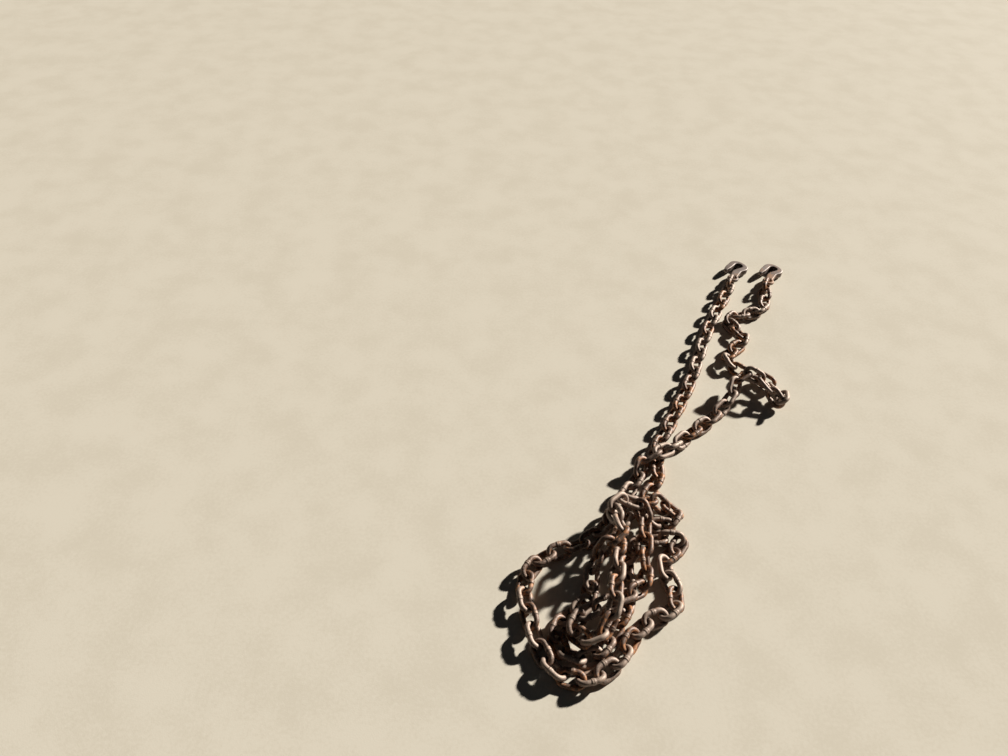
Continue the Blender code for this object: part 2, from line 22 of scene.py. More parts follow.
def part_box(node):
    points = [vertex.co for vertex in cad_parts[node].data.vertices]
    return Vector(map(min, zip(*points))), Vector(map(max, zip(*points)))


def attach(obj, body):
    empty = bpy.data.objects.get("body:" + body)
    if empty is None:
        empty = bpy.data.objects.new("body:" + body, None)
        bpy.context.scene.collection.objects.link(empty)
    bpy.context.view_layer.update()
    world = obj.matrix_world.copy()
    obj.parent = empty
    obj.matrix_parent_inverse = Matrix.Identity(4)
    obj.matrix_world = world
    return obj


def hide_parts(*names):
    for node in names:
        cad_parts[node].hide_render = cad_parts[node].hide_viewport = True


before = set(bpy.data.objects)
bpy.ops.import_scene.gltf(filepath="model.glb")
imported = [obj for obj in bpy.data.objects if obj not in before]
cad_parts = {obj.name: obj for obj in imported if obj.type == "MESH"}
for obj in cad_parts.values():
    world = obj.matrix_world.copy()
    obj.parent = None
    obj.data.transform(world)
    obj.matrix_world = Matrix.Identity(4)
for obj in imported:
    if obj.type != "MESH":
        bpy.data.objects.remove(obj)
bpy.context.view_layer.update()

LOG = logging.getLogger("chain")
Color = tuple[float, float, float]
Value = "Wire | float"
NEARLY_NONE = 1e-6
NEARLY_NO_TURN = 1e-12

# The chain's route from the left hook's eye to the right one's: X, Y and the layer that it lies on
ROUTE = [
    # left strand, from its hook down to the crossing
    (0.216, 0.530, 0), (0.202, 0.496, 0), (0.180, 0.450, 0), (0.150, 0.395, 0), (0.122, 0.340, 0),
    (0.098, 0.280, 0), (0.075, 0.220, 0), (0.053, 0.155, 0), (0.027, 0.095, 0), (-0.003, 0.035, 0),
    (-0.035, -0.030, 0), (-0.063, -0.088, 0), (-0.070, -0.128, 0),
    # down into the heap
    (-0.075, -0.165, 0), (-0.088, -0.202, 0), (-0.102, -0.238, 0), (-0.107, -0.270, 0.5),
    # upper loop on the right
    (-0.084, -0.284, 0.6), (-0.050, -0.270, 0.1), (-0.046, -0.243, 0.3), (-0.076, -0.226, 1.2),
    # over the top of the heap and down its middle
    (-0.110, -0.230, 1.5), (-0.138, -0.252, 2), (-0.160, -0.288, 2.2), (-0.168, -0.328, 2.5),
    (-0.174, -0.372, 3), (-0.180, -0.415, 3.4), (-0.186, -0.460, 3.6), (-0.196, -0.500, 3.2),
    (-0.220, -0.530, 2.6), (-0.252, -0.532, 2.3), (-0.264, -0.502, 2.2),
    # back up the right side and over the top once more
    (-0.240, -0.478, 2.2), (-0.204, -0.460, 2.3), (-0.164, -0.444, 2.3), (-0.132, -0.426, 2.1),
    (-0.118, -0.390, 2.1), (-0.124, -0.350, 2.3), (-0.116, -0.312, 2.4), (-0.110, -0.274, 2.6),
    (-0.132, -0.246, 3), (-0.162, -0.245, 3), (-0.178, -0.278, 3.3), (-0.165, -0.312, 3.7),
    (-0.168, -0.345, 4.0),
    # down the left of the middle and round the inner loop, on the second layer
    (-0.202, -0.364, 3.4), (-0.222, -0.390, 1.8), (-0.224, -0.424, 1.2), (-0.230, -0.458, 1.1),
    (-0.262, -0.468, 1.1), (-0.288, -0.492, 1.1), (-0.290, -0.528, 1.2), (-0.266, -0.553, 1.3),
    (-0.230, -0.558, 1.3), (-0.200, -0.538, 1.1), (-0.186, -0.502, 1.1), (-0.164, -0.470, 1.1),
    (-0.152, -0.432, 1.1), (-0.154, -0.394, 1.1), (-0.154, -0.358, 1.1), (-0.138, -0.326, 1.1),
    # lower loop on the right
    (-0.104, -0.310, 1.1), (-0.070, -0.300, 0.6), (-0.040, -0.308, 0.2), (-0.056, -0.328, 0.1),
    (-0.086, -0.346, 0.2),
    # right edge and the near edge, on the floor
    (-0.080, -0.382, 0), (-0.064, -0.425, 0), (-0.074, -0.466, 0), (-0.112, -0.470, 0),
    (-0.144, -0.486, 0), (-0.160, -0.518, 0), (-0.181, -0.550, 0), (-0.210, -0.575, 0),
    (-0.246, -0.592, 0), (-0.284, -0.590, 0),
    # wide loop on the left, on the floor
    (-0.308, -0.560, 0), (-0.322, -0.522, 0), (-0.334, -0.482, 0), (-0.346, -0.445, 0),
    (-0.347, -0.405, 0), (-0.330, -0.367, 0), (-0.294, -0.346, 0), (-0.254, -0.334, 0),
    (-0.216, -0.318, 0), (-0.188, -0.292, 0), (-0.166, -0.258, 0), (-0.146, -0.222, 0),
    # out of the heap and over the left strand
    (-0.128, -0.190, 0.2), (-0.108, -0.158, 0.9), (-0.088, -0.128, 1.2), (-0.062, -0.102, 1.2),
    (-0.032, -0.072, 0.4),
    # right strand with its zigzag and its kinked, propped stretch
    (0.004, -0.045, 0), (0.044, -0.012, 0), (0.084, 0.026, 0), (0.118, 0.062, 0.2),
    (0.134, 0.092, 0.5), (0.146, 0.124, 1.0), (0.180, 0.130, 1.0), (0.212, 0.098, 0.6),
    (0.236, 0.062, 0.2), (0.247, 0.086, 0), (0.226, 0.132, 0), (0.180, 0.164, 0),
    (0.137, 0.200, 0), (0.151, 0.236, 0), (0.183, 0.262, 0), (0.206, 0.292, 0),
    (0.184, 0.320, 0), (0.164, 0.350, 0), (0.190, 0.374, 0), (0.228, 0.392, 0),
    (0.264, 0.392, 0), (0.282, 0.424, 0), (0.287, 0.470, 0), (0.310, 0.522, 0),
]


class Stretch(Enum):
    """The chain's three stretches, in order, by the name of their nodes."""

    LEFT_STRAND = "left_strand_links"
    HEAP = "heap_links"
    RIGHT_STRAND = "right_strand_links"


class End(Enum):
    """The chain's two ends, by the name of the hook there, with the end's place in the lay."""

    LEFT = ("grab_hook_left", 0)
    RIGHT = ("grab_hook_right", -1)


@dataclass(frozen=True)
class LinkSize:
    """Sizes of one link."""

    bar: float = 0.0100
    inside_length: float = 0.0350
    inside_width: float = 0.0156

    @property
    def bend(self) -> float:
        """Radius of the bar's axis in a link's round end."""
        return (self.inside_width + self.bar) / 2

    @property
    def half_leg(self) -> float:
        """Half the length of a link's straight leg."""
        return (self.inside_length - self.inside_width) / 2


@dataclass(frozen=True)
class HookSize:
    """Sizes of a grab hook, its eye's centre at the origin and its throat towards +X."""

    thickness: float = 0.0170
    length: float = 0.0635
    neck: float = 0.0210
    arm: float = 0.0170
    bowl: float = 0.0105
    prong: float = 0.0160
    tip: float = 0.0050
    prong_length: float = 0.0460
    throat_bottom: float = 0.0210
    throat_mouth: float = 0.0120
    throat_taper: float = 0.0260
    throat_slant: float = math.radians(25.5)
    eye_bar: float = 0.0085
    eye_hole: float = 0.0135
    heading: float = math.radians(65.5)
    neck_at_eye: float = 0.92
    neck_places: tuple[float, float] = (1.15, 0.60)
    bowl_steps: int = 6
    prong_places: tuple[float, ...] = (0.30, 0.60, 0.84, 1.0)
    prong_shares: tuple[float, ...] = (1.0, 0.95, 0.70)

    @property
    def eye_bend(self) -> float:
        """Radius of the bar's axis in the eye."""
        return (self.eye_hole + self.eye_bar) / 2

    def throat_half(self, distance: float) -> float:
        """Half the throat's width at a distance from the middle of its round bottom."""
        share = min(1.0, distance / self.throat_taper)
        return (self.throat_bottom + share * (self.throat_mouth - self.throat_bottom)) / 2

    def stations(self, smooth_bowl: bool = False) -> list[tuple[float, float, float]]:
        """Middle points and widths of the flat band, from the eye round to the tip.

        Args:
            smooth_bowl: Whether the bowl's back is drawn as one smooth curve.

        Returns:
            X, Y and width of each station.
        """
        centre = np.array([self.length, 0.0])
        back = np.array([-math.cos(self.throat_slant), math.sin(self.throat_slant)])
        up = np.array([math.sin(self.throat_slant), math.cos(self.throat_slant)])
        found = [(self.eye_bend, 0.0, self.neck_at_eye * self.neck)]
        for share, width in zip(self.neck_places, (self.neck, self.arm)):
            distance = share * self.throat_taper
            point = centre + distance * back - (self.throat_half(distance) + width / 2) * up
            found.append((point[0], point[1], width))
        for step in range(self.bowl_steps + 1):
            turn = math.pi * step / self.bowl_steps
            beside = self.arm if 2 * step < self.bowl_steps else self.prong
            growth = abs(math.cos(turn)) ** (2 if smooth_bowl else 1)
            width = self.bowl + (beside - self.bowl) * growth
            reach = (self.throat_bottom + width) / 2
            point = centre - reach * (math.cos(turn) * up + math.sin(turn) * back)
            found.append((point[0], point[1], width))
        widths = [share * self.prong for share in self.prong_shares] + [self.tip]
        for share, width in zip(self.prong_places, widths):
            distance = share * self.prong_length
            point = centre + distance * back + (self.throat_half(distance) + width / 2) * up
            found.append((point[0], point[1], width))
        return found

    def rims(self) -> tuple[np.ndarray, np.ndarray]:
        """The two long sides of the flat band.

        Returns:
            Rows of points on each side.
        """
        stations = np.array(self.stations())
        middle = stations[:, :2]
        ahead = np.gradient(middle, axis=0)
        ahead /= np.linalg.norm(ahead, axis=1)[:, None]
        across = np.column_stack([-ahead[:, 1], ahead[:, 0]]) * stations[:, 2:] / 2
        return middle + across, middle - across


@dataclass(frozen=True)
class LayRule:
    """How the solids' chain is laid: counts, clearances and the steps of the rule."""

    left_links: int = 21
    heap_links: int = 84
    right_links: int = 33
    links_per_run: int = 3
    clearance: float = 0.0003
    floor_clearance: float = 0.0001
    run_weld: float = 0.0009
    slackness: float = 0.36
    layer_height: float = 0.0310
    lean: float = math.radians(45)
    lean_spread: float = math.radians(12)
    lean_seed: int = 7
    rounds: int = 520
    lowering_rounds: int = 240
    lowering_step: float = 0.0005
    plan_hold: float = 0.02
    near_margin: float = 0.0040
    rounds_between_searches: int = 8
    shared_drive: float = 1.3
    propped: tuple[int, int] = (112, 123)
    bar_sides: int = 6
    bend_steps: int = 4
    stretch_rounds: int = 6
    gyration_share: float = 0.35
    least_facing: float = 0.5
    place_digits: int = 6
    axes_digits: int = 7

    @property
    def link_count(self) -> int:
        """All the chain's links."""
        return self.left_links + self.heap_links + self.right_links

    @property
    def half_corner(self) -> float:
        """Half the angle that a faceted bend turns at each corner."""
        return math.radians(90 / self.bend_steps)

    @property
    def ridge_turn(self) -> float:
        """Half the angle between a faceted bar's ridges."""
        return math.pi / self.bar_sides

    def ridge(self, diameter: float) -> float:
        """How far a faceted bar's ridges stand from its axis, to have the round bar's area."""
        sides = self.bar_sides
        return math.sqrt(2 * math.pi / (sides * math.sin(2 * math.pi / sides))) * diameter / 2


def smooth_curve(points: np.ndarray, steps: int = 12) -> np.ndarray:
    """Points on a smooth curve through the given ones.

    Args:
        points: Rows of points to pass through.
        steps: Points on each span.

    Returns:
        Rows of points, evenly spaced within each span.
    """
    ends = np.vstack([2 * points[0] - points[1], points, 2 * points[-1] - points[-2]])
    curve = []
    for before, start, end, after in zip(ends[:-3], ends[1:-2], ends[2:-1], ends[3:]):
        for t in np.arange(steps) / steps:
            curve.append(0.5 * (2 * start + (end - before) * t
                                + (2 * before - 5 * start + 4 * end - after) * t ** 2
                                + (3 * start - before - 3 * end + after) * t ** 3))
    curve.append(points[-1])
    return np.array(curve)


def lengths_along(curve: np.ndarray) -> np.ndarray:
    """Distance from a curve's start to each of its points."""
    return np.concatenate([[0.0], np.cumsum(np.linalg.norm(np.diff(curve, axis=0), axis=1))])


def nearest_shares(start_a: np.ndarray, edge_a: np.ndarray, start_b: np.ndarray,
                   edge_b: np.ndarray) -> tuple[np.ndarray, np.ndarray]:
    """Where pairs of straight edges come nearest.

    Args:
        start_a: Starts of the first edges.
        edge_a: The first edges.
        start_b: Starts of the second edges.
        edge_b: The second edges.

    Returns:
        Shares of the first and of the second edges' lengths.
    """
    apart = start_a - start_b
    aa = (edge_a * edge_a).sum(-1)
    ab = (edge_a * edge_b).sum(-1)
    bb = (edge_b * edge_b).sum(-1)
    a_apart = (edge_a * apart).sum(-1)
    b_apart = (edge_b * apart).sum(-1)
    spread = aa * bb - ab * ab
    skew = spread > NEARLY_NONE * aa * bb
    share_a = np.where(skew, (ab * b_apart - bb * a_apart) / np.where(skew, spread, 1.0), 0.5)
    share_b = np.clip((ab * np.clip(share_a, 0, 1) + b_apart) / bb, 0, 1)
    share_a = np.clip((ab * share_b - a_apart) / aa, 0, 1)
    share_b = np.clip((ab * share_a + b_apart) / bb, 0, 1)
    return share_a, share_b


def turned(frames: np.ndarray, turns: np.ndarray) -> np.ndarray:
    """Frames turned by small rotation vectors and squared up again.

    Args:
        frames: Axes of each body, as columns.
        turns: One rotation vector for each body.

    Returns:
        The turned axes.
    """
    angle = np.linalg.norm(turns, axis=1)
    pole = turns / np.maximum(angle, NEARLY_NO_TURN)[:, None]
    sin, cos = np.sin(angle)[:, None], np.cos(angle)[:, None]
    axes = []
    for k in range(2):
        axis = frames[:, :, k]
        lift = (pole * axis).sum(1)[:, None]
        axes.append(axis * cos + np.cross(pole, axis) * sin + pole * lift * (1 - cos))
    x_axis = axes[0] / np.linalg.norm(axes[0], axis=1)[:, None]
    z_axis = np.cross(x_axis, axes[1])
    z_axis /= np.linalg.norm(z_axis, axis=1)[:, None]
    return np.stack([x_axis, np.cross(z_axis, x_axis), z_axis], -1)


class ChainLay:
    """Where the eyes and links lie: the rule that laid the solids, run again.

    Body 0 is the left hook's eye, bodies 1 to 138 are the links, and the last is the right eye.
    """

    def __init__(self, link: LinkSize, hook: HookSize, rule: LayRule) -> None:
        """Puts every body on the route.

        Args:
            link: Sizes of a link.
            hook: Sizes of a hook.
            rule: The laying rule.
        """
        self.link, self.hook, self.rule = link, hook, rule
        self.link_ridge, self.eye_ridge = rule.ridge(link.bar), rule.ridge(hook.eye_bar)
        self.gyration = rule.gyration_share * (link.inside_length + 2 * link.bar)
        count = rule.link_count
        eye = self.bar_axis(hook.eye_bend, 0.0)
        self.axis = np.stack([eye] + [self.bar_axis(link.bend, link.half_leg)] * count + [eye])
        self.ridge = np.array([self.eye_ridge] + [self.link_ridge] * count + [self.eye_ridge])
        self.free = np.array([0.0] + [1.0] * count + [0.0])
        self.edge = np.roll(self.axis, -1, axis=1) - self.axis
        self.outward = np.stack([self.edge[..., 1], -self.edge[..., 0], self.edge[..., 2]], -1)
        self.outward /= np.linalg.norm(self.outward, axis=-1)[..., None]
        upright = np.array([0.0, 0.0, 1.0])
        turns = [(2 * k + 1) * rule.ridge_turn for k in range(rule.bar_sides)]
        self.ridges = np.stack([math.cos(turn) * self.outward + math.sin(turn) * upright
                                for turn in turns[:rule.bar_sides // 2]], 2)
        mitre = self.outward + np.roll(self.outward, 1, axis=1)
        mitre /= np.linalg.norm(mitre, axis=-1)[..., None] * math.cos(rule.half_corner)
        ways = [math.cos(turn) * mitre + math.sin(turn) * upright for turn in turns]
        self.surface = np.concatenate([self.axis + self.ridge[:, None, None] * way for way in ways], 1)
        curve = self.chain_curve()
        along = lengths_along(curve)
        margin = self.joint_spacing()[1]
        marks = np.linspace(margin, along[-1] - margin, count + 1)
        joints = np.column_stack([np.interp(marks, along, curve[:, k]) for k in range(3)])
        self.centre = np.vstack([curve[0], (joints[:-1] + joints[1:]) / 2, curve[-1]])
        self.centre[[0, -1], 2] = self.eye_height()
        self.frame = np.stack([self.hook_frame()] + self.link_frames(joints) + [self.hook_frame()])
        number = np.arange(-1, count + 1)
        self.run = number // rule.links_per_run
        propped = (number >= rule.propped[0]) & (number <= rule.propped[1])
        self.lowered = np.where(propped, 0.0, self.free)

    def bar_axis(self, bend: float, half_leg: float) -> np.ndarray:
        """Corners of a faceted closed bar's axis.

        Args:
            bend: Radius of the axis in the round ends.
            half_leg: Half the straight legs' length.

        Returns:
            Rows of points in the bar's own frame.
        """
        steps, half = self.rule.bend_steps, self.rule.half_corner
        corner = bend / math.cos(half)
        points = []
        for step in range(2 * steps):
            angle = (2 * step - steps + 1) * half
            shift = half_leg if step < steps else -half_leg
            points.append((shift + corner * math.cos(angle), corner * math.sin(angle), 0.0))
        return np.array(points)

    def joint_spacing(self) -> tuple[float, float]:
        """How far apart the chain's joints are.

        Returns:
            Distance between joints, and from an eye's centre to the nearest joint.
        """
        link, rule = self.link, self.rule
        hold = math.cos(rule.ridge_turn)
        welds = (rule.links_per_run - 1) * rule.run_weld
        bearing = 2 * hold * self.link_ridge + (rule.clearance - welds) / rule.links_per_run
        eye_bearing = hold * (self.link_ridge + self.eye_ridge) + rule.clearance
        spacing = link.inside_length + link.bar - bearing - rule.slackness * rule.clearance
        return spacing, self.hook.eye_bend - eye_bearing + bearing / 2

    def chain_curve(self) -> np.ndarray:
        """The route as a smooth curve, its plan stretched until the chain just fills it.

        Returns:
            Rows of points.
        """
        spacing, margin = self.joint_spacing()
        chain_length = self.rule.link_count * spacing + 2 * margin
        floor = self.link.bend * math.sin(self.rule.lean) + self.link_ridge
        route = np.array(ROUTE)
        stretch = 1.0
        for _ in range(self.rule.stretch_rounds):
            heights = floor + self.rule.layer_height * route[:, 2]
            curve = smooth_curve(np.column_stack([route[:, :2] * stretch, heights]))
            stretch *= chain_length / lengths_along(curve)[-1]
        return curve

    def hook_frame(self) -> np.ndarray:
        """A hook that rests on its bowl, its eye propped up by the first link.

        Returns:
            Its axes, as columns.
        """
        hook, rule = self.hook, self.rule
        reach = hook.length + hook.throat_bottom / 2 + hook.bowl
        half = hook.thickness / 2
        height = 2 * self.link_ridge + self.eye_ridge + rule.clearance + rule.floor_clearance
        tilt = math.asin(height / math.hypot(reach, half)) - math.atan2(half, reach)
        return np.array(Matrix.Rotation(hook.heading, 3, 'Z') @ Matrix.Rotation(tilt, 3, 'Y'))

    def eye_height(self) -> float:
        """How high a hook's eye is when its bowl touches the floor.

        Returns:
            Height of the eye's centre.
        """
        rims = np.concatenate(self.hook.rims())
        under = np.column_stack([rims, np.full(len(rims), -self.hook.thickness / 2)])
        return self.rule.floor_clearance - (under @ self.hook_frame()[2]).min()

    def link_frames(self, joints: np.ndarray) -> list[np.ndarray]:
        """Leans the links to one side and the other in turn.

        Args:
            joints: Points where neighbours bear on each other.

        Returns:
            Axes of each link: X along the chain, Y across the link in its own plane.
        """
        spread = random.Random(self.rule.lean_seed)
        frames = []
        for number, (start, end) in enumerate(zip(joints[:-1], joints[1:])):
            along = (end - start) / np.linalg.norm(end - start)
            side = np.cross([0.0, 0.0, 1.0], along)
            side /= np.linalg.norm(side)
            lean = self.rule.lean if number % 2 else -self.rule.lean
            lean += spread.uniform(-self.rule.lean_spread, self.rule.lean_spread)
            across = math.cos(lean) * side + math.sin(lean) * np.cross(along, side)
            frames.append(np.column_stack([along, across, np.cross(along, across)]))
        return frames

    def as_laid(self, rows: np.ndarray) -> np.ndarray:
        """Points or directions of every body's own frame, turned as the bodies lie."""
        return np.einsum('nij,nmj->nmi', self.frame, rows)

    def near_pairs(self) -> tuple[np.ndarray, np.ndarray]:
        """Pairs of bodies close enough to touch within a few rounds.

        Returns:
            Numbers of the first and of the second bodies.
        """
        longest = np.linalg.norm(self.axis, axis=-1).max()
        reach = 2 * longest + 2 * self.link_ridge + self.rule.near_margin
        apart = self.centre[:, None] - self.centre[None]
        return np.nonzero(np.triu((apart ** 2).sum(-1) < reach ** 2, 1))

    def bar_reach(self, body: np.ndarray, number: np.ndarray, edges: np.ndarray,
                  normal: np.ndarray) -> tuple[np.ndarray, np.ndarray]:
        """How far faceted bars stand out from their axes towards a neighbour.

        Args:
            body: Numbers of the bodies.
            number: Numbers of the edges of their axes.
            edges: Those edges in space.
            normal: Directions towards the neighbours.

        Returns:
            The reach, and False where a nearer edge counts instead.
        """
        tangent = edges / np.linalg.norm(edges, axis=-1)[:, None]
        slip = (normal * tangent).sum(-1) ** 2
        local = np.einsum('nij,ni->nj', self.frame[body], normal)
        reach = np.abs((self.ridges[body, number] * local[:, None]).sum(-1)).max(-1)
        counts = slip <= math.sin(self.rule.half_corner) ** 2 + NEARLY_NONE
        return self.ridge[body] * reach / np.maximum(1 - slip, self.rule.least_facing), counts

    def contacts(self, first: np.ndarray, second: np.ndarray) -> tuple[np.ndarray, ...]:
        """Contacts to mend this round.

        Args:
            first: First bodies of the near pairs.
            second: Second bodies of the near pairs.

        Returns:
            Both bodies, both contact points, direction, excess gap and share of each contact.
        """
        rule = self.rule
        joined = second - first == 1
        same_run = joined & (self.run[first] == self.run[second])
        same_run &= self.free[first] * self.free[second] > 0
        corner = self.as_laid(self.axis) + self.centre[:, None]
        edge = self.as_laid(self.edge)
        start_a, edge_a = corner[first][:, :, None], edge[first][:, :, None]
        start_b, edge_b = corner[second][:, None], edge[second][:, None]
        share_a, share_b = nearest_shares(start_a, edge_a, start_b, edge_b)
        point_a = start_a + share_a[..., None] * edge_a
        point_b = start_b + share_b[..., None] * edge_b
        apart = point_b - point_a
        distance = np.sqrt((apart ** 2).sum(-1))
        limit = 2 * max(self.link_ridge, self.eye_ridge) / math.cos(rule.half_corner) + rule.clearance
        row, ka, kb = np.nonzero((distance < limit) | joined[:, None, None])
        point_a, point_b = point_a[row, ka, kb], point_b[row, ka, kb]
        normal = apart[row, ka, kb] / distance[row, ka, kb][:, None]
        body_a, body_b = first[row], second[row]
        reach_a, counts_a = self.bar_reach(body_a, ka, edge[body_a, ka], normal)
        reach_b, counts_b = self.bar_reach(body_b, kb, edge[body_b, kb], normal)
        excess = distance[row, ka, kb] - reach_a - reach_b - rule.clearance
        excess += np.where(same_run[row], rule.clearance + rule.run_weld, 0.0)
        excess[~(counts_a & counts_b)] = np.inf
        tightest = np.full(len(first), np.inf)
        np.minimum.at(tightest, row, excess)
        is_tightest = (excess <= tightest[row]) & np.isfinite(excess)
        keep = ((excess < 0) & ~same_run[row]) | (is_tightest & joined[row])
        row, normal, excess = row[keep], normal[keep], excess[keep]
        touching = np.bincount(row, minlength=len(first))[row]
        return body_a[keep], body_b[keep], point_a[keep], point_b[keep], normal, excess, 1 / touching

    def nudge(self, first: np.ndarray, second: np.ndarray) -> None:
        """Moves every body a little, away from what it cuts and back to what it bears on.

        Args:
            first: First bodies of the near pairs.
            second: Second bodies of the near pairs.
        """
        shift = np.zeros_like(self.centre)
        turn = np.zeros_like(self.centre)
        load = np.zeros(len(self.centre))
        body_a, body_b, point_a, point_b, normal, excess, share = self.contacts(first, second)
        swing_a = np.cross(point_a - self.centre[body_a], normal) / self.gyration
        swing_b = np.cross(point_b - self.centre[body_b], normal) / self.gyration
        ease_a = self.free[body_a] * (1 + (swing_a ** 2).sum(1))
        ease_b = self.free[body_b] * (1 + (swing_b ** 2).sum(1))
        drive = np.where(share < 1, self.rule.shared_drive, 1.0)
        push = (excess * share * drive / (ease_a + ease_b))[:, None]
        np.add.at(shift, body_a, push * normal)
        np.add.at(shift, body_b, -push * normal)
        np.add.at(turn, body_a, push * swing_a / self.gyration)
        np.add.at(turn, body_b, -push * swing_b / self.gyration)
        np.add.at(load, body_a, share)
        np.add.at(load, body_b, share)
        arms = self.as_laid(self.surface)
        height = arms[..., 2] + self.centre[:, 2][:, None] - self.rule.floor_clearance
        lowest = height.argmin(1)
        sunk = np.nonzero(height.min(1) < 0)[0]
        swing = np.cross(arms[sunk, lowest[sunk]], [0.0, 0.0, 1.0]) / self.gyration
        lift = -height[sunk, lowest[sunk]] / (1 + (swing ** 2).sum(1))
        shift[sunk, 2] += lift
        turn[sunk] += lift[:, None] * swing / self.gyration
        load[sunk] += 1
        scale = self.free * np.minimum(1.0, self.rule.shared_drive / np.sqrt(np.maximum(load, 1)))
        self.centre += shift * scale[:, None]
        self.frame[1:-1] = turned(self.frame, turn * scale[:, None])[1:-1]

    def settle(self) -> None:
        """Lowers the links onto each other and moves them clear, then fits them to the solids."""
        plan = self.centre[:, :2].copy()
        pairs = self.near_pairs()
        for step in range(self.rule.rounds):
            if step % self.rule.rounds_between_searches == 0:
                pairs = self.near_pairs()
            fade = max(0.0, 1 - step / self.rule.lowering_rounds)
            self.centre[:, 2] -= fade * self.rule.lowering_step * self.lowered
            hold = fade * self.rule.plan_hold * self.free[:, None]
            self.centre[:, :2] += hold * (plan - self.centre[:, :2])
            self.nudge(*pairs)
        self.centre = np.round(self.centre, self.rule.place_digits)
        self.frame = np.round(self.frame, self.rule.axes_digits)
        self.fit_to_solids()

    def fit_to_solids(self) -> None:
        """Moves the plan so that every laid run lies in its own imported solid."""
        surface = self.as_laid(self.surface) + self.centre[:, None]
        shifts = []
        for run in range(self.run_count):
            points = surface[self.bodies_of(run)].reshape(-1, 3)
            low, high = (np.array(corner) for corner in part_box(self.node_of(run)))
            shifts += [low - points.min(0), high - points.max(0)]
        shifts = np.array(shifts)
        middle = np.median(shifts, 0)
        LOG.info("lay fits the solids within %.3f mm", 1000 * np.abs(shifts - middle).max())
        self.centre[:, :2] += middle[:2]

    @property
    def run_count(self) -> int:
        """How many runs of links there are."""
        return math.ceil(self.rule.link_count / self.rule.links_per_run)

    def bodies_of(self, run: int) -> list[int]:
        """Numbers of the bodies in a run."""
        first = run * self.rule.links_per_run + 1
        return list(range(first, min(first + self.rule.links_per_run, self.rule.link_count + 1)))

    def node_of(self, run: int) -> str:
        """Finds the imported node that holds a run.

        Args:
            run: The run's number along the whole chain, from 0.

        Returns:
            The node's name.
        """
        first = run * self.rule.links_per_run
        start = 0
        counts = (self.rule.left_links, self.rule.heap_links, self.rule.right_links)
        for stretch, count in zip(Stretch, counts):
            if first < start + count:
                return f"{stretch.value}_{(first - start) // self.rule.links_per_run + 1:02d}"
            start += count
        raise ValueError("no such run")

    def matrix(self, body: int) -> Matrix:
        """Where a body lies.

        Args:
            body: Its number.

        Returns:
            Its place.
        """
        matrix = Matrix([list(row) for row in self.frame[body]]).to_4x4()
        matrix.translation = self.centre[body]
        return matrix


@dataclass(frozen=True)
class Wire:
    """An output socket of a shader; sums and products with it add Math nodes."""

    shader: "Shader"
    socket: bpy.types.NodeSocket

    def _math(self, operation: str, first: Value, second: Value) -> "Wire":
        """One Math node."""
        return self.shader.node("ShaderNodeMath", {"operation": operation}, {0: first, 1: second})

    def __add__(self, other: Value) -> "Wire":
        """Sum."""
        return self._math("ADD", self, other)

    __radd__ = __add__

    def __sub__(self, other: Value) -> "Wire":
        """Difference."""
        return self._math("SUBTRACT", self, other)

    def __rsub__(self, other: Value) -> "Wire":
        """Difference, the other way round."""
        return self._math("SUBTRACT", other, self)

    def __mul__(self, other: Value) -> "Wire":
        """Product."""
        return self._math("MULTIPLY", self, other)

    __rmul__ = __mul__

    def between(self, low: float, high: float) -> "Wire":
        """Smooth step from 0 at low to 1 at high."""
        inputs = {"Value": self, "From Min": low, "From Max": high}
        return self.shader.node("ShaderNodeMapRange", {"interpolation_type": "SMOOTHSTEP"}, inputs)


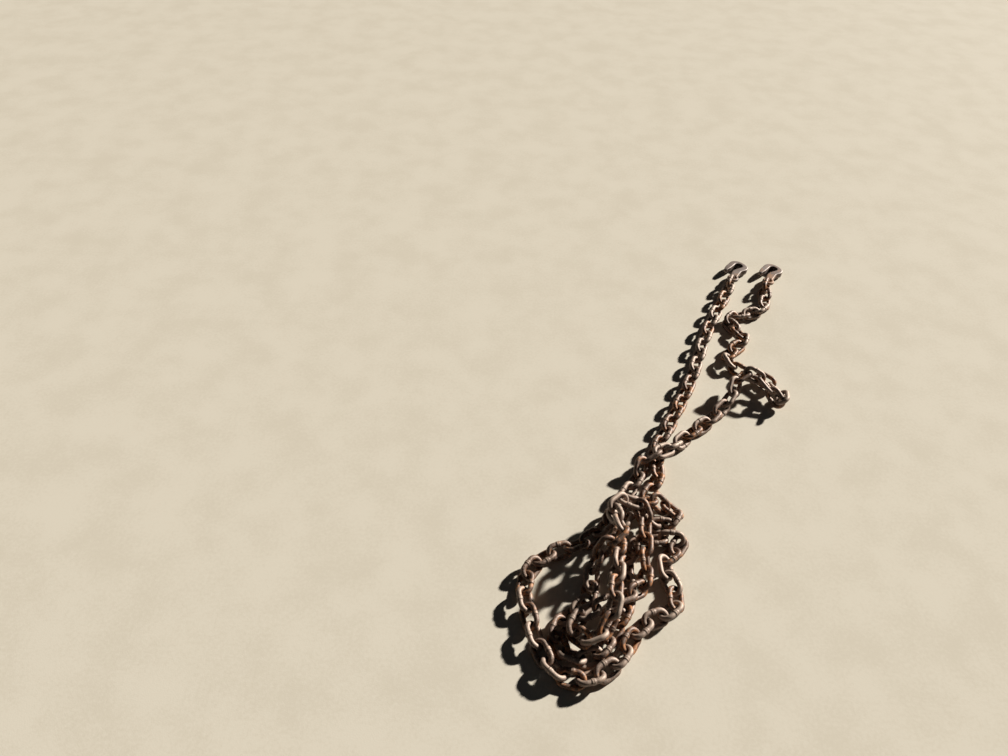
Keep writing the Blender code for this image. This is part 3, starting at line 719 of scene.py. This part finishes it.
class Shader:
    """The node tree of one material, built by short calls."""

    def __init__(self, name: str) -> None:
        """Starts a material with its Principled BSDF.

        Args:
            name: The material's name.
        """
        self.material = bpy.data.materials.new(name)
        self.material.use_nodes = True
        self.tree = self.material.node_tree
        self.surface = self.tree.nodes["Principled BSDF"]
        self.place = self.node("ShaderNodeTexCoord", output="Object")

    def node(self, kind: str, settings: dict | None = None, inputs: dict | None = None,
             output: str | int = 0) -> Wire:
        """Adds any node.

        Args:
            kind: The node's type.
            settings: Its own settings, made first.
            inputs: Values or wires for its sockets, by name or number.
            output: Name or number of the socket to return.

        Returns:
            The chosen output.
        """
        made = self.tree.nodes.new(kind)
        for name, value in (settings or {}).items():
            setattr(made, name, value)
        for name, value in (inputs or {}).items():
            self.feed(made.inputs[name], value)
        return Wire(self, made.outputs[output])

    def feed(self, socket: bpy.types.NodeSocket, value: "Value | Color") -> None:
        """Links a wire to a socket, or sets the socket's own value.

        Args:
            socket: The input.
            value: A wire, a number or a colour.
        """
        if isinstance(value, Wire):
            self.tree.links.new(value.socket, socket)
        elif isinstance(value, tuple) and socket.type == 'RGBA':
            socket.default_value = (*value, 1.0)
        else:
            socket.default_value = value

    def noise(self, scale: float, detail: float = 3.0, roughness: float = 0.55) -> Wire:
        """Noise on object coordinates, its scale in grains to the metre."""
        inputs = {"Vector": self.place, "Scale": scale, "Detail": detail, "Roughness": roughness}
        return self.node("ShaderNodeTexNoise", None, inputs, "Fac")

    def kept(self, *names: str) -> list[Wire]:
        """Numbers kept on the mesh's points."""
        kind = "ShaderNodeAttribute"
        return [self.node(kind, {"attribute_name": name}, None, "Fac") for name in names]

    def upward(self) -> Wire:
        """How far the surface faces up, from -1 to 1."""
        normal = self.node("ShaderNodeNewGeometry", output="Normal")
        return self.node("ShaderNodeSeparateXYZ", None, {0: normal}, "Z")

    def mixed(self, share: Value, base: "Wire | Color", over: "Wire | Color") -> Wire:
        """A colour laid over another.

        Args:
            share: How much of the upper colour shows.
            base: The lower colour.
            over: The upper colour.

        Returns:
            The mixed colour.
        """
        made = self.tree.nodes.new("ShaderNodeMix")
        made.data_type = 'RGBA'
        sockets = {socket.identifier: socket for socket in made.inputs}
        self.feed(sockets["Factor_Float"], share)
        self.feed(sockets["A_Color"], base)
        self.feed(sockets["B_Color"], over)
        found = next(socket for socket in made.outputs if socket.identifier == "Result_Color")
        return Wire(self, found)

    def bump(self, height: Wire, depth: float, strength: float) -> Wire:
        """A normal bent by a height from 0 to 1, which stands for a depth in metres."""
        inputs = {"Height": height, "Distance": depth, "Strength": strength}
        return self.node("ShaderNodeBump", None, inputs, "Normal")

    def dress(self, color: "Wire | Color", roughness: Value, metallic: Value,
              normal: Wire | None = None, gloss: float = 0.5) -> bpy.types.Material:
        """Joins the finish to the surface.

        Args:
            color: Base colour.
            roughness: Roughness.
            metallic: Share of bare metal.
            normal: Bumped normal.
            gloss: Strength of the plain reflection, the same all over.

        Returns:
            The material.
        """
        self.surface.inputs["Specular IOR Level"].default_value = gloss
        self.feed(self.surface.inputs["Base Color"], color)
        self.feed(self.surface.inputs["Roughness"], roughness)
        self.feed(self.surface.inputs["Metallic"], metallic)
        if normal:
            self.feed(self.surface.inputs["Normal"], normal)
        return self.material


@dataclass(frozen=True)
class LinkRust:
    """Dry rust on welded links: brown and violet scale, orange in the joints, dust on top, and painted
    shade where other links and the floor hem them in.
    """

    # near-black: rust pits, the weld's heat tint, and painted shade in the hollows between links
    crevice: Color = (0.024, 0.014, 0.010)
    brown: Color = (0.122, 0.069, 0.046)
    violet: Color = (0.228, 0.158, 0.129)
    orange: Color = (0.420, 0.172, 0.058)
    dust: Color = (0.480, 0.372, 0.290)
    bare: Color = (0.540, 0.452, 0.380)
    roughness: float = 0.52
    gloss: float = 0.65
    broad_grains: float = 34.0
    patch_grains: float = 150.0
    speck_grains: float = 420.0
    pit_grains: float = 520.0
    fine_grains: float = 850.0
    relief: float = 0.00040
    relief_share: float = 0.65
    rust_share: float = 0.85
    dust_share: float = 0.64
    rubbed_share: float = 0.75
    painted_shade_share: float = 0.85
    pit_share: float = 0.35
    crest_share: float = 0.30
    metal: float = 0.22

    def material(self) -> bpy.types.Material:
        """Builds the finish.

        Returns:
            The material.
        """
        shader = Shader("link_steel_rust")
        tint, weld, crest, wear, shelter = shader.kept("tint", "weld", "crest", "wear", "shelter")
        broad = shader.noise(self.broad_grains)
        patch = shader.noise(self.patch_grains, 4.0)
        grain = shader.noise(self.fine_grains, 4.0, 0.65)
        speck = shader.noise(self.speck_grains, 2.0)
        pits = shader.node("ShaderNodeTexVoronoi", None,
                           {"Vector": shader.place, "Scale": self.pit_grains}, "Distance")
        violet = (broad * 0.6 + speck * 0.7 + tint * 0.35 - 0.15).between(0.36, 0.62)
        color = shader.mixed(violet, self.brown, self.violet)
        rusty = (patch + broad * 0.6 + shelter * 0.22 - tint * 0.12 - 0.30).between(0.60, 0.74)
        rusty *= self.rust_share
        color = shader.mixed(rusty, color, self.orange)
        on_top = shader.upward().between(0.15, 0.95)
        dusty = on_top * (speck * 0.6 + patch * 0.7 + tint * 0.35 - 0.10).between(0.30, 0.85)
        dusty *= self.dust_share
        color = shader.mixed(dusty, color, self.dust)
        rubbed = (wear + grain * 0.3 - 0.15).between(0.30, 0.95) * self.rubbed_share
        color = shader.mixed(rubbed, color, self.bare)
        # painted shade: darker where other links or the floor hem a link in
        dark = (shelter * 0.9 + grain * 0.35 - 0.15).between(0.40, 1.00) * self.painted_shade_share
        color = shader.mixed(dark, color, self.crevice)
        color = shader.mixed(pits.between(0.30, 0.10) * self.pit_share, color, self.crevice)
        color = shader.mixed(crest * self.crest_share, color, self.dust)
        color = shader.mixed(weld * (patch * 1.4 - 0.20), color, self.crevice)
        rough = self.roughness + patch * 0.26 - 0.13 - rubbed * 0.16 + dusty * 0.12
        metal = self.metal + rubbed * 0.40 - rusty * 0.18
        height = grain * 0.55 + pits.between(0.05, 0.45) * 0.30 + speck * 0.25
        normal = shader.bump(height, self.relief, self.relief_share)
        return shader.dress(color, rough, metal, normal, self.gloss)


@dataclass(frozen=True)
class HookForging:
    """Forged hook steel: grey-tan scale, lighter rubbed edges, orange rust near the eye."""

    crevice: Color = (0.045, 0.028, 0.021)
    tan: Color = (0.160, 0.117, 0.098)
    grey: Color = (0.208, 0.171, 0.157)
    orange: Color = (0.350, 0.175, 0.082)
    bare: Color = (0.470, 0.410, 0.370)
    roughness: float = 0.60
    rust: float = 0.5
    broad_grains: float = 42.0
    patch_grains: float = 170.0
    scale_grains: float = 330.0
    fine_grains: float = 900.0
    relief: float = 0.00045
    relief_share: float = 0.55
    scale_share: float = 0.30
    rubbed_share: float = 0.60
    seam_share: float = 0.35
    metal: float = 0.16

    def material(self, name: str) -> bpy.types.Material:
        """Builds the finish.

        Args:
            name: The material's name.

        Returns:
            The material.
        """
        shader = Shader(name)
        edge, eye, seam = shader.kept("edge", "eye", "seam")
        broad = shader.noise(self.broad_grains)
        patch = shader.noise(self.patch_grains, 4.0)
        grain = shader.noise(self.fine_grains, 4.0, 0.65)
        scale = shader.noise(self.scale_grains, 2.0)
        color = shader.mixed(broad.between(0.38, 0.62), self.tan, self.grey)
        rusty = (patch + eye * 0.20 + self.rust * 0.16 - 0.10).between(0.52, 0.70)
        color = shader.mixed(rusty * (0.35 + 0.65 * self.rust), color, self.orange)
        scaly = (scale * 1.1 - 0.10).between(0.55, 0.75) * self.scale_share
        color = shader.mixed(scaly, color, self.crevice)
        rubbed = (edge + grain * 0.35 + patch * 0.70 - 0.52).between(0.30, 1.00) * self.rubbed_share
        color = shader.mixed(rubbed, color, self.bare)
        color = shader.mixed(seam * self.seam_share, color, self.crevice)
        rough = self.roughness + patch * 0.28 - 0.14 - rubbed * 0.14
        metal = self.metal + rubbed * 0.35 - rusty * 0.12
        normal = shader.bump(grain * 0.5 + scale * 0.5, self.relief, self.relief_share)
        return shader.dress(color, rough, metal, normal)


@dataclass(frozen=True)
class PaleFloor:
    """The plain pale floor."""

    light: Color = (0.675, 0.628, 0.534)
    dark: Color = (0.595, 0.545, 0.450)
    roughness: float = 0.90
    gloss: float = 0.12
    cloud_grains: float = 9.0
    patch_grains: float = 160.0
    fine_grains: float = 420.0
    relief: float = 0.0004
    relief_share: float = 0.25
    dark_share: float = 0.6

    def material(self) -> bpy.types.Material:
        """Builds the finish.

        Returns:
            The material.
        """
        shader = Shader("pale_floor")
        cloud = shader.noise(self.cloud_grains, 4.0) * 0.6 + shader.noise(self.patch_grains) * 0.4
        color = shader.mixed(cloud.between(0.60, 0.36) * self.dark_share, self.light, self.dark)
        normal = shader.bump(shader.noise(self.fine_grains), self.relief, self.relief_share)
        return shader.dress(color, self.roughness, 0.0, normal, self.gloss)


def mesh_of(bm: bmesh.types.BMesh, name: str) -> bpy.types.Mesh:
    """Turns a shaped bmesh into a mesh.

    Args:
        bm: The bmesh, which is freed.
        name: The mesh's name.

    Returns:
        The mesh.
    """
    mesh = bpy.data.meshes.new(name)
    bm.to_mesh(mesh)
    bm.free()
    return mesh


def placed(name: str, data: bpy.types.ID) -> bpy.types.Object:
    """Puts an object in the scene, at the origin.

    Args:
        name: The object's name.
        data: Its mesh, light or camera.

    Returns:
        The object.
    """
    made = bpy.data.objects.new(name, data)
    bpy.context.scene.collection.objects.link(made)
    return made


def edges_among(bm: bmesh.types.BMesh,
                verts: Sequence[bmesh.types.BMVert]) -> list[bmesh.types.BMEdge]:
    """Edges with both ends among some points."""
    return [edge for edge in bm.edges if edge.verts[0] in verts and edge.verts[1] in verts]


def keep_numbers(mesh: bpy.types.Mesh, name: str, values: np.ndarray) -> None:
    """Keeps one number for each point of a mesh, for its material."""
    layer = mesh.attributes.get(name) or mesh.attributes.new(name, 'FLOAT', 'POINT')
    layer.data.foreach_set("value", np.asarray(values, dtype=np.float32))


def points_of(mesh: bpy.types.Mesh) -> np.ndarray:
    """Reads a mesh's points.

    Args:
        mesh: The mesh.

    Returns:
        Rows of points.
    """
    points = np.empty(3 * len(mesh.vertices))
    mesh.vertices.foreach_get("co", points)
    return points.reshape(-1, 3)


def smooth_step(values: np.ndarray, low: float, high: float) -> np.ndarray:
    """Smooth step from 0 at low to 1 at high."""
    share = np.clip((values - low) / (high - low), 0.0, 1.0)
    return share * share * (3 - 2 * share)


def finished(name: str, mesh: bpy.types.Mesh, material: bpy.types.Material,
             nodes: Sequence[str]) -> bpy.types.Object:
    """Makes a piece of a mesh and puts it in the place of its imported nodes.

    Args:
        name: The piece's name.
        mesh: Its mesh, in the part's frame.
        material: Its finish.
        nodes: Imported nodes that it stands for.

    Returns:
        The piece.
    """
    mesh.name = name
    mesh.materials.clear()
    mesh.materials.append(material)
    mesh.shade_smooth()
    piece = placed(name, mesh)
    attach(piece, "root")
    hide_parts(*nodes)
    LOG.info("%s: %d faces", name, len(mesh.polygons))
    return piece


@dataclass
class WeldedLinks:
    """The chain's links as round bars, bent at both ends and butt-welded in one leg."""

    size: LinkSize = field(default_factory=LinkSize)
    sides: int = 20
    bend_steps: int = 12
    leg_cuts: int = 20
    weld_swell: float = 0.00095
    weld_half: float = 0.0046
    weld_flat: float = 0.0024
    weld_dip: float = 0.30
    groove: float = 0.00035
    groove_reach: float = math.radians(48)
    # how near another bar or the floor a point must be for orange rust and painted shade
    shelter_near: float = 0.0006
    shelter_far: float = 0.0100
    floor_shelter: float = 0.6
    crest_from: float = 0.6
    bearing_side: float = 0.9
    neighbour_bars: int = 4
    seed: int = 11

    def template(self) -> bpy.types.Mesh:
        """One link at the origin, X along it and Z across its plane.

        Returns:
            The link's mesh, with its weld and its worn bearing ends kept as numbers.
        """
        size = self.size
        bm = bmesh.new()
        ring = bmesh.ops.create_circle(bm, cap_ends=False, segments=self.sides,
                                       radius=size.bar / 2)["verts"]
        place = Matrix.Translation((size.half_leg, -size.bend, 0))
        place @= Matrix.Rotation(math.pi / 2, 4, 'Y')
        bmesh.ops.transform(bm, matrix=place, verts=ring)
        bmesh.ops.spin(bm, geom=bm.verts[:] + bm.edges[:], cent=(size.half_leg, 0, 0), axis=(0, 0, 1),
                       angle=math.pi, steps=self.bend_steps, use_duplicate=False)
        other = bmesh.ops.duplicate(bm, geom=bm.verts[:] + bm.edges[:] + bm.faces[:])["geom"]
        bmesh.ops.rotate(bm, verts=[item for item in other if isinstance(item, bmesh.types.BMVert)],
                         cent=(0, 0, 0), matrix=Matrix.Rotation(math.pi, 3, 'Z'))
        legs = []
        for side in (-1, 1):
            rim = [edge for edge in bm.edges if edge.is_boundary and side * edge.verts[0].co.y > 0]
            bridge = bmesh.ops.bridge_loops(bm, edges=rim)
            legs += [edge for edge in bridge["edges"] if edge.is_valid]
        bmesh.ops.subdivide_edges(bm, edges=legs, cuts=self.leg_cuts, use_grid_fill=True)
        bmesh.ops.recalc_face_normals(bm, faces=bm.faces[:])
        mesh = mesh_of(bm, "link")
        self.shape(mesh)
        return mesh

    def shape(self, mesh: bpy.types.Mesh) -> None:
        """Swells the weld and wears the grooves where the next links bear.

        Args:
            mesh: The plain link, changed in place.
        """
        size = self.size
        points = points_of(mesh)
        beyond = np.clip(np.abs(points[:, 0]) - size.half_leg, 0.0, None) * np.sign(points[:, 0])
        outward = np.column_stack([beyond, points[:, 1], np.zeros(len(points))])
        outward /= np.linalg.norm(outward, axis=1)[:, None]
        foot = outward * size.bend
        foot[:, 0] += points[:, 0] - beyond
        offset = points - foot
        reach = np.linalg.norm(offset, axis=1)
        inner = np.clip(-(offset * outward).sum(1) / reach, 0.0, 1.0)
        crown = np.arctan2(np.abs(points[:, 1]), np.abs(beyond))
        worn = smooth_step(crown, self.groove_reach, 0.0) * smooth_step(inner, 0.0, self.bearing_side)
        on_leg = (points[:, 1] > 0) & (np.abs(points[:, 0]) < size.half_leg)
        along = np.abs(points[:, 0])
        weld = np.where(on_leg, smooth_step(along, self.weld_half, self.weld_flat), 0.0)
        dip = np.where(on_leg, smooth_step(along, self.weld_flat / 2, 0.0), 0.0)
        collar = weld - self.weld_dip * dip
        grown = reach + self.weld_swell * collar - self.groove * worn
        points = foot + offset * (grown / reach)[:, None]
        mesh.vertices.foreach_set("co", points.ravel())
        mesh.update()
        keep_numbers(mesh, "weld", weld * (1 - weld) * 4)
        keep_numbers(mesh, "crest", smooth_step(collar, self.crest_from, 1.0))
        keep_numbers(mesh, "wear", worn)

    def axis_points(self, steps: int = 36) -> np.ndarray:
        """Points along the bar's axis, in the link's own frame.

        Args:
            steps: How many points.

        Returns:
            Rows of points.
        """
        size = self.size
        turns = np.linspace(-math.pi, math.pi, steps, endpoint=False)
        shift = np.where(np.abs(turns) < math.pi / 2, size.half_leg, -size.half_leg)
        along, across = shift + size.bend * np.cos(turns), size.bend * np.sin(turns)
        return np.column_stack([along, across, 0 * turns])

    def build(self, lay: ChainLay, material: bpy.types.Material) -> None:
        """Builds every run of links in the place of its node.

        Args:
            lay: Where the links lie.
            material: Their finish.
        """
        template = self.template()
        chance = random.Random(self.seed)
        axis = self.axis_points()
        axes = np.einsum('nij,mj->nmi', lay.frame[1:-1], axis) + lay.centre[1:-1, None]
        for run in range(lay.run_count):
            bm = bmesh.new()
            for body in lay.bodies_of(run):
                copy = template.copy()
                copy.transform(self.turned_up(lay.matrix(body), chance))
                points = points_of(copy)
                keep_numbers(copy, "tint", np.full(len(points), chance.uniform(-1.0, 1.0)))
                # keeps how hemmed in each point is, read by the finish for rust and painted shade
                keep_numbers(copy, "shelter", self.shelter(points, body - 1, axes))
                bm.from_mesh(copy)
                bpy.data.meshes.remove(copy)
            node = lay.node_of(run)
            finished(f"{node}_welded", mesh_of(bm, "run"), material, [node])
        bpy.data.meshes.remove(template)

    def turned_up(self, place: Matrix, chance: random.Random) -> Matrix:
        """A link's place, its weld in either leg but never pressed into the floor.

        Args:
            place: The laid body's place.
            chance: Picks the leg and the end.

        Returns:
            The place with the link turned over or end for end.
        """
        place = (place @ Matrix.Rotation(math.pi * chance.randint(0, 1), 4, 'X')
                 @ Matrix.Rotation(math.pi * chance.randint(0, 1), 4, 'Z'))
        weld = place @ Vector((0.0, self.size.bend, 0.0))
        if weld.z < self.size.bar / 2 + self.weld_swell:
            place = place @ Matrix.Rotation(math.pi, 4, 'X')
        return place

    def shelter(self, points: np.ndarray, link: int, axes: np.ndarray) -> np.ndarray:
        """How closely each point of a link is hemmed in by other links and the floor, for orange rust
        and painted shade.

        Args:
            points: The link's points.
            link: Its number, from 0.
            axes: Points along every link's axis.

        Returns:
            0 in the open to 1 where another bar touches.
        """
        apart = np.linalg.norm(axes.mean(1) - points.mean(0), axis=1)
        reach = self.size.inside_length + self.neighbour_bars * self.size.bar
        others = [other for other in np.nonzero(apart < reach)[0] if other != link]
        near = axes[others].reshape(-1, 3)
        gap = np.sqrt(((points[:, None] - near[None]) ** 2).sum(-1).min(1)) - self.size.bar / 2
        beside = smooth_step(gap, self.shelter_far, self.shelter_near)
        # points near the floor get painted contact shade as well as rust
        low = smooth_step(points[:, 2], self.shelter_far, self.shelter_near)
        return np.maximum(beside, self.floor_shelter * low)


@dataclass
class GrabHook:
    """A forged grab hook: a round eye, a broad neck, a slanted throat and a pointed prong."""

    size: HookSize = field(default_factory=HookSize)
    sides: int = 28
    steps: int = 5
    squareness: float = 0.30
    voxel: float = 0.00065
    smoothing: int = 8
    smooth_share: float = 0.5
    eye_flare: float = 1.08
    eye_sides: int = 24
    eye_steps: int = 48
    tip_fullness: float = 1.30
    tip_round: float = 0.0030
    tip_least: float = 0.3
    neck_thickness: tuple[float, ...] = (0.62, 0.84, 0.96)
    prong_thickness: tuple[float, ...] = (0.98, 0.92, 0.78, 0.52)
    rim_bulge: tuple[float, float] = (0.010, 0.055)
    eye_stain: tuple[float, float] = (0.046, 0.014)
    side_facing: tuple[float, float] = (0.45, 0.15)
    seam_band: tuple[float, float] = (0.0009, 0.0003)

    def thickness_shares(self) -> list[float]:
        """Share of the full thickness at each station, from the eye round to the tip."""
        bowl = [1.0] * (self.size.bowl_steps + 1)
        return [*self.neck_thickness, *bowl, *self.prong_thickness]

    def band(self, bm: bmesh.types.BMesh) -> None:
        """Sweeps the flat band's rounded section from the neck to the tip.

        Args:
            bm: The mesh to add it to.
        """
        size = self.size
        stations = np.array([(*station, share * size.thickness)
                             for station, share in zip(size.stations(True), self.thickness_shares())])
        stations[-1, 2] *= self.tip_fullness
        course = smooth_curve(stations, self.steps)
        along = lengths_along(course[:, :2])
        before_tip = np.clip((along[-1] - along) / self.tip_round, 0.0, 1.0)
        course[:, 2:] *= np.clip(np.sqrt(1 - (1 - before_tip) ** 2), self.tip_least, 1.0)[:, None]
        ahead = np.gradient(course[:, :2], axis=0)
        ahead /= np.linalg.norm(ahead, axis=1)[:, None]
        ring = bmesh.ops.create_circle(bm, cap_ends=True, segments=self.sides, radius=1.0)["verts"]
        flat = [Vector((self.squared(vert.co.x), self.squared(vert.co.y), 0.0)) for vert in ring]
        loop = edges_among(bm, ring)
        self.lay_ring(ring, flat, course[0], ahead[0])
        for station, way in zip(course[1:], ahead[1:]):
            grown = bmesh.ops.extrude_edge_only(bm, edges=loop)["geom"]
            verts = [item for item in grown if isinstance(item, bmesh.types.BMVert)]
            loop = [item for item in grown if isinstance(item, bmesh.types.BMEdge)
                    and all(vert in verts for vert in item.verts)]
            self.lay_ring(verts, flat, station, way)
        bmesh.ops.edgeloop_fill(bm, edges=loop)

    def squared(self, value: float) -> float:
        """A circle's coordinate pulled out towards a rounded square's."""
        return math.copysign(abs(value) ** self.squareness, value) if abs(value) > NEARLY_NONE else 0.0

    def lay_ring(self, verts: Sequence[bmesh.types.BMVert], flat: Sequence[Vector],
                 station: np.ndarray, way: np.ndarray) -> None:
        """Puts one ring of the band in its place.

        Args:
            verts: The ring's points.
            flat: The section's points, from -1 to 1.
            station: Middle, width and thickness there.
            way: Direction along the band.
        """
        x, y, width, thickness = station
        for vert, point in zip(verts, flat):
            side = point.x * width / 2
            vert.co = (x - way[1] * side, y + way[0] * side, point.y * thickness / 2)

    def eye(self, bm: bmesh.types.BMesh) -> None:
        """Spins the eye's round bar.

        Args:
            bm: The mesh to add it to.
        """
        size = self.size
        ring = bmesh.ops.create_circle(bm, cap_ends=False, segments=self.eye_sides,
                                       radius=self.eye_flare * size.eye_bar / 2)["verts"]
        place = Matrix.Translation((size.eye_bend, 0, 0)) @ Matrix.Rotation(math.pi / 2, 4, 'X')
        bmesh.ops.transform(bm, matrix=place, verts=ring)
        bmesh.ops.spin(bm, geom=list(ring) + edges_among(bm, ring), cent=(0, 0, 0), axis=(0, 0, 1),
                       angle=2 * math.pi, steps=self.eye_steps, use_merge=True, use_duplicate=False)

    def forged(self) -> bpy.types.Mesh:
        """The band and the eye grown into one rounded forging.

        Returns:
            The hook's mesh in its own frame, with its edges, eye and parting line kept as numbers.
        """
        bm = bmesh.new()
        self.band(bm)
        self.eye(bm)
        bmesh.ops.recalc_face_normals(bm, faces=bm.faces[:])
        rough = mesh_of(bm, "hook_rough")
        blank = placed("hook_blank", rough)
        remesh = blank.modifiers.new("one_skin", 'REMESH')
        remesh.mode = 'VOXEL'
        remesh.voxel_size = self.voxel
        smooth = blank.modifiers.new("fillets", 'SMOOTH')
        smooth.factor = self.smooth_share
        smooth.iterations = self.smoothing
        graph = bpy.context.evaluated_depsgraph_get()
        mesh = bpy.data.meshes.new_from_object(blank.evaluated_get(graph))
        bpy.data.objects.remove(blank)
        bpy.data.meshes.remove(rough)
        self.number(mesh)
        return mesh

    def number(self, mesh: bpy.types.Mesh) -> None:
        """Keeps the numbers that the finish reads.

        Args:
            mesh: The forging, in its own frame.
        """
        points = points_of(mesh)
        normals = np.empty(3 * len(points))
        mesh.vertices.foreach_get("normal", normals)
        normals = normals.reshape(-1, 3)
        ends = np.empty(2 * len(mesh.edges), dtype=int)
        mesh.edges.foreach_get("vertices", ends)
        ends = ends.reshape(-1, 2)
        pull = np.zeros_like(points)
        count = np.zeros(len(points))
        for one, other in ((0, 1), (1, 0)):
            np.add.at(pull, ends[:, one], points[ends[:, other]] - points[ends[:, one]])
            np.add.at(count, ends[:, one], 1)
        bulge = -(pull / count[:, None] * normals).sum(1) / self.voxel
        keep_numbers(mesh, "edge", smooth_step(bulge, *self.rim_bulge))
        from_eye = np.hypot(points[:, 0], points[:, 1])
        keep_numbers(mesh, "eye", smooth_step(from_eye, *self.eye_stain))
        on_side = smooth_step(np.abs(normals[:, 2]), *self.side_facing)
        keep_numbers(mesh, "seam", on_side * smooth_step(np.abs(points[:, 2]), *self.seam_band))

    def build(self, lay: ChainLay, finishes: dict[End, HookForging]) -> None:
        """Builds both hooks in the place of their nodes.

        Args:
            lay: Where the eyes lie.
            finishes: The finish at each end.
        """
        mesh = self.forged()
        for end in End:
            node, body = end.value
            copy = mesh.copy()
            copy.transform(lay.matrix(body))
            finished(f"{node}_forged", copy, finishes[end].material(f"hook_steel_{end.name.lower()}"),
                     [node])
        bpy.data.meshes.remove(mesh)


@dataclass
class Studio:
    """The floor, the lights and the camera."""

    floor_size: float = 60.0
    floor_drop: float = 0.0003
    pitch: float = math.radians(44.71)
    roll: float = math.radians(-2.06)
    focal_px: float = 757.0
    width_px: float = 1008.0
    sensor_mm: float = 36.0
    place: tuple[float, float, float] = (-0.399786, -1.152742, 1.27)
    sun_way: tuple[float, float, float] = (-1.90, -1.36, -1.05)
    sun_strength: float = 8.1
    sun_angle: float = math.radians(2.5)
    sun_color: Color = (1.0, 0.95, 0.87)
    sky: Color = (0.90, 0.93, 1.0)
    sky_strength: float = 0.018

    def build(self) -> None:
        """Sets up the studio."""
        self.build_floor()
        self.build_camera()
        self.build_lights()

    def build_floor(self) -> None:
        """Lays the floor."""
        bm = bmesh.new()
        bmesh.ops.create_grid(bm, x_segments=2, y_segments=2, size=self.floor_size / 2)
        bmesh.ops.translate(bm, verts=bm.verts[:], vec=(0, 0, -self.floor_drop))
        mesh = mesh_of(bm, "floor")
        mesh.materials.append(PaleFloor().material())
        floor = placed("floor", mesh)

    def build_camera(self) -> None:
        """Stands the camera where the photograph was taken from."""
        data = bpy.data.cameras.new("camera")
        data.sensor_width = self.sensor_mm
        data.lens = data.sensor_width * self.focal_px / self.width_px
        camera = placed("camera", data)
        ahead = Vector((0, math.cos(self.pitch), -math.sin(self.pitch)))
        level = Vector((1, 0, 0))
        below = Vector((0, -math.sin(self.pitch), -math.cos(self.pitch)))
        right = math.cos(self.roll) * level + math.sin(self.roll) * below
        down = math.cos(self.roll) * below - math.sin(self.roll) * level
        turn = Matrix((right, -down, -ahead)).transposed().to_4x4()
        camera.matrix_world = Matrix.Translation(self.place) @ turn
        bpy.context.scene.camera = camera

    def build_lights(self) -> None:
        """Hangs the key light behind on the right, and a soft sky."""
        data = bpy.data.lights.new("key", 'SUN')
        data.energy = self.sun_strength
        data.angle = self.sun_angle
        data.color = self.sun_color
        key = placed("key", data)
        key.rotation_euler = Vector(self.sun_way).to_track_quat('-Z', 'Y').to_euler()
        world = bpy.data.worlds.new("sky")
        bpy.context.scene.world = world
        world.use_nodes = True
        background = world.node_tree.nodes["Background"]
        background.inputs["Color"].default_value = (*self.sky, 1.0)
        background.inputs["Strength"].default_value = self.sky_strength
        bpy.context.scene.view_settings.view_transform = 'Standard'


def main() -> None:
    """Builds the studio, the links and the hooks."""
    logging.basicConfig(level=logging.INFO, format="%(name)s: %(message)s")
    for leftover in [thing for thing in bpy.data.objects if thing.type in ("CAMERA", "LIGHT")]:
        bpy.data.objects.remove(leftover)
    Studio().build()
    lay = ChainLay(LinkSize(), HookSize(), LayRule())
    lay.settle()
    WeldedLinks().build(lay, LinkRust().material())
    GrabHook().build(lay, {End.LEFT: HookForging(rust=0.15), End.RIGHT: HookForging(rust=0.70)})


if __name__ == "__main__":
    main()
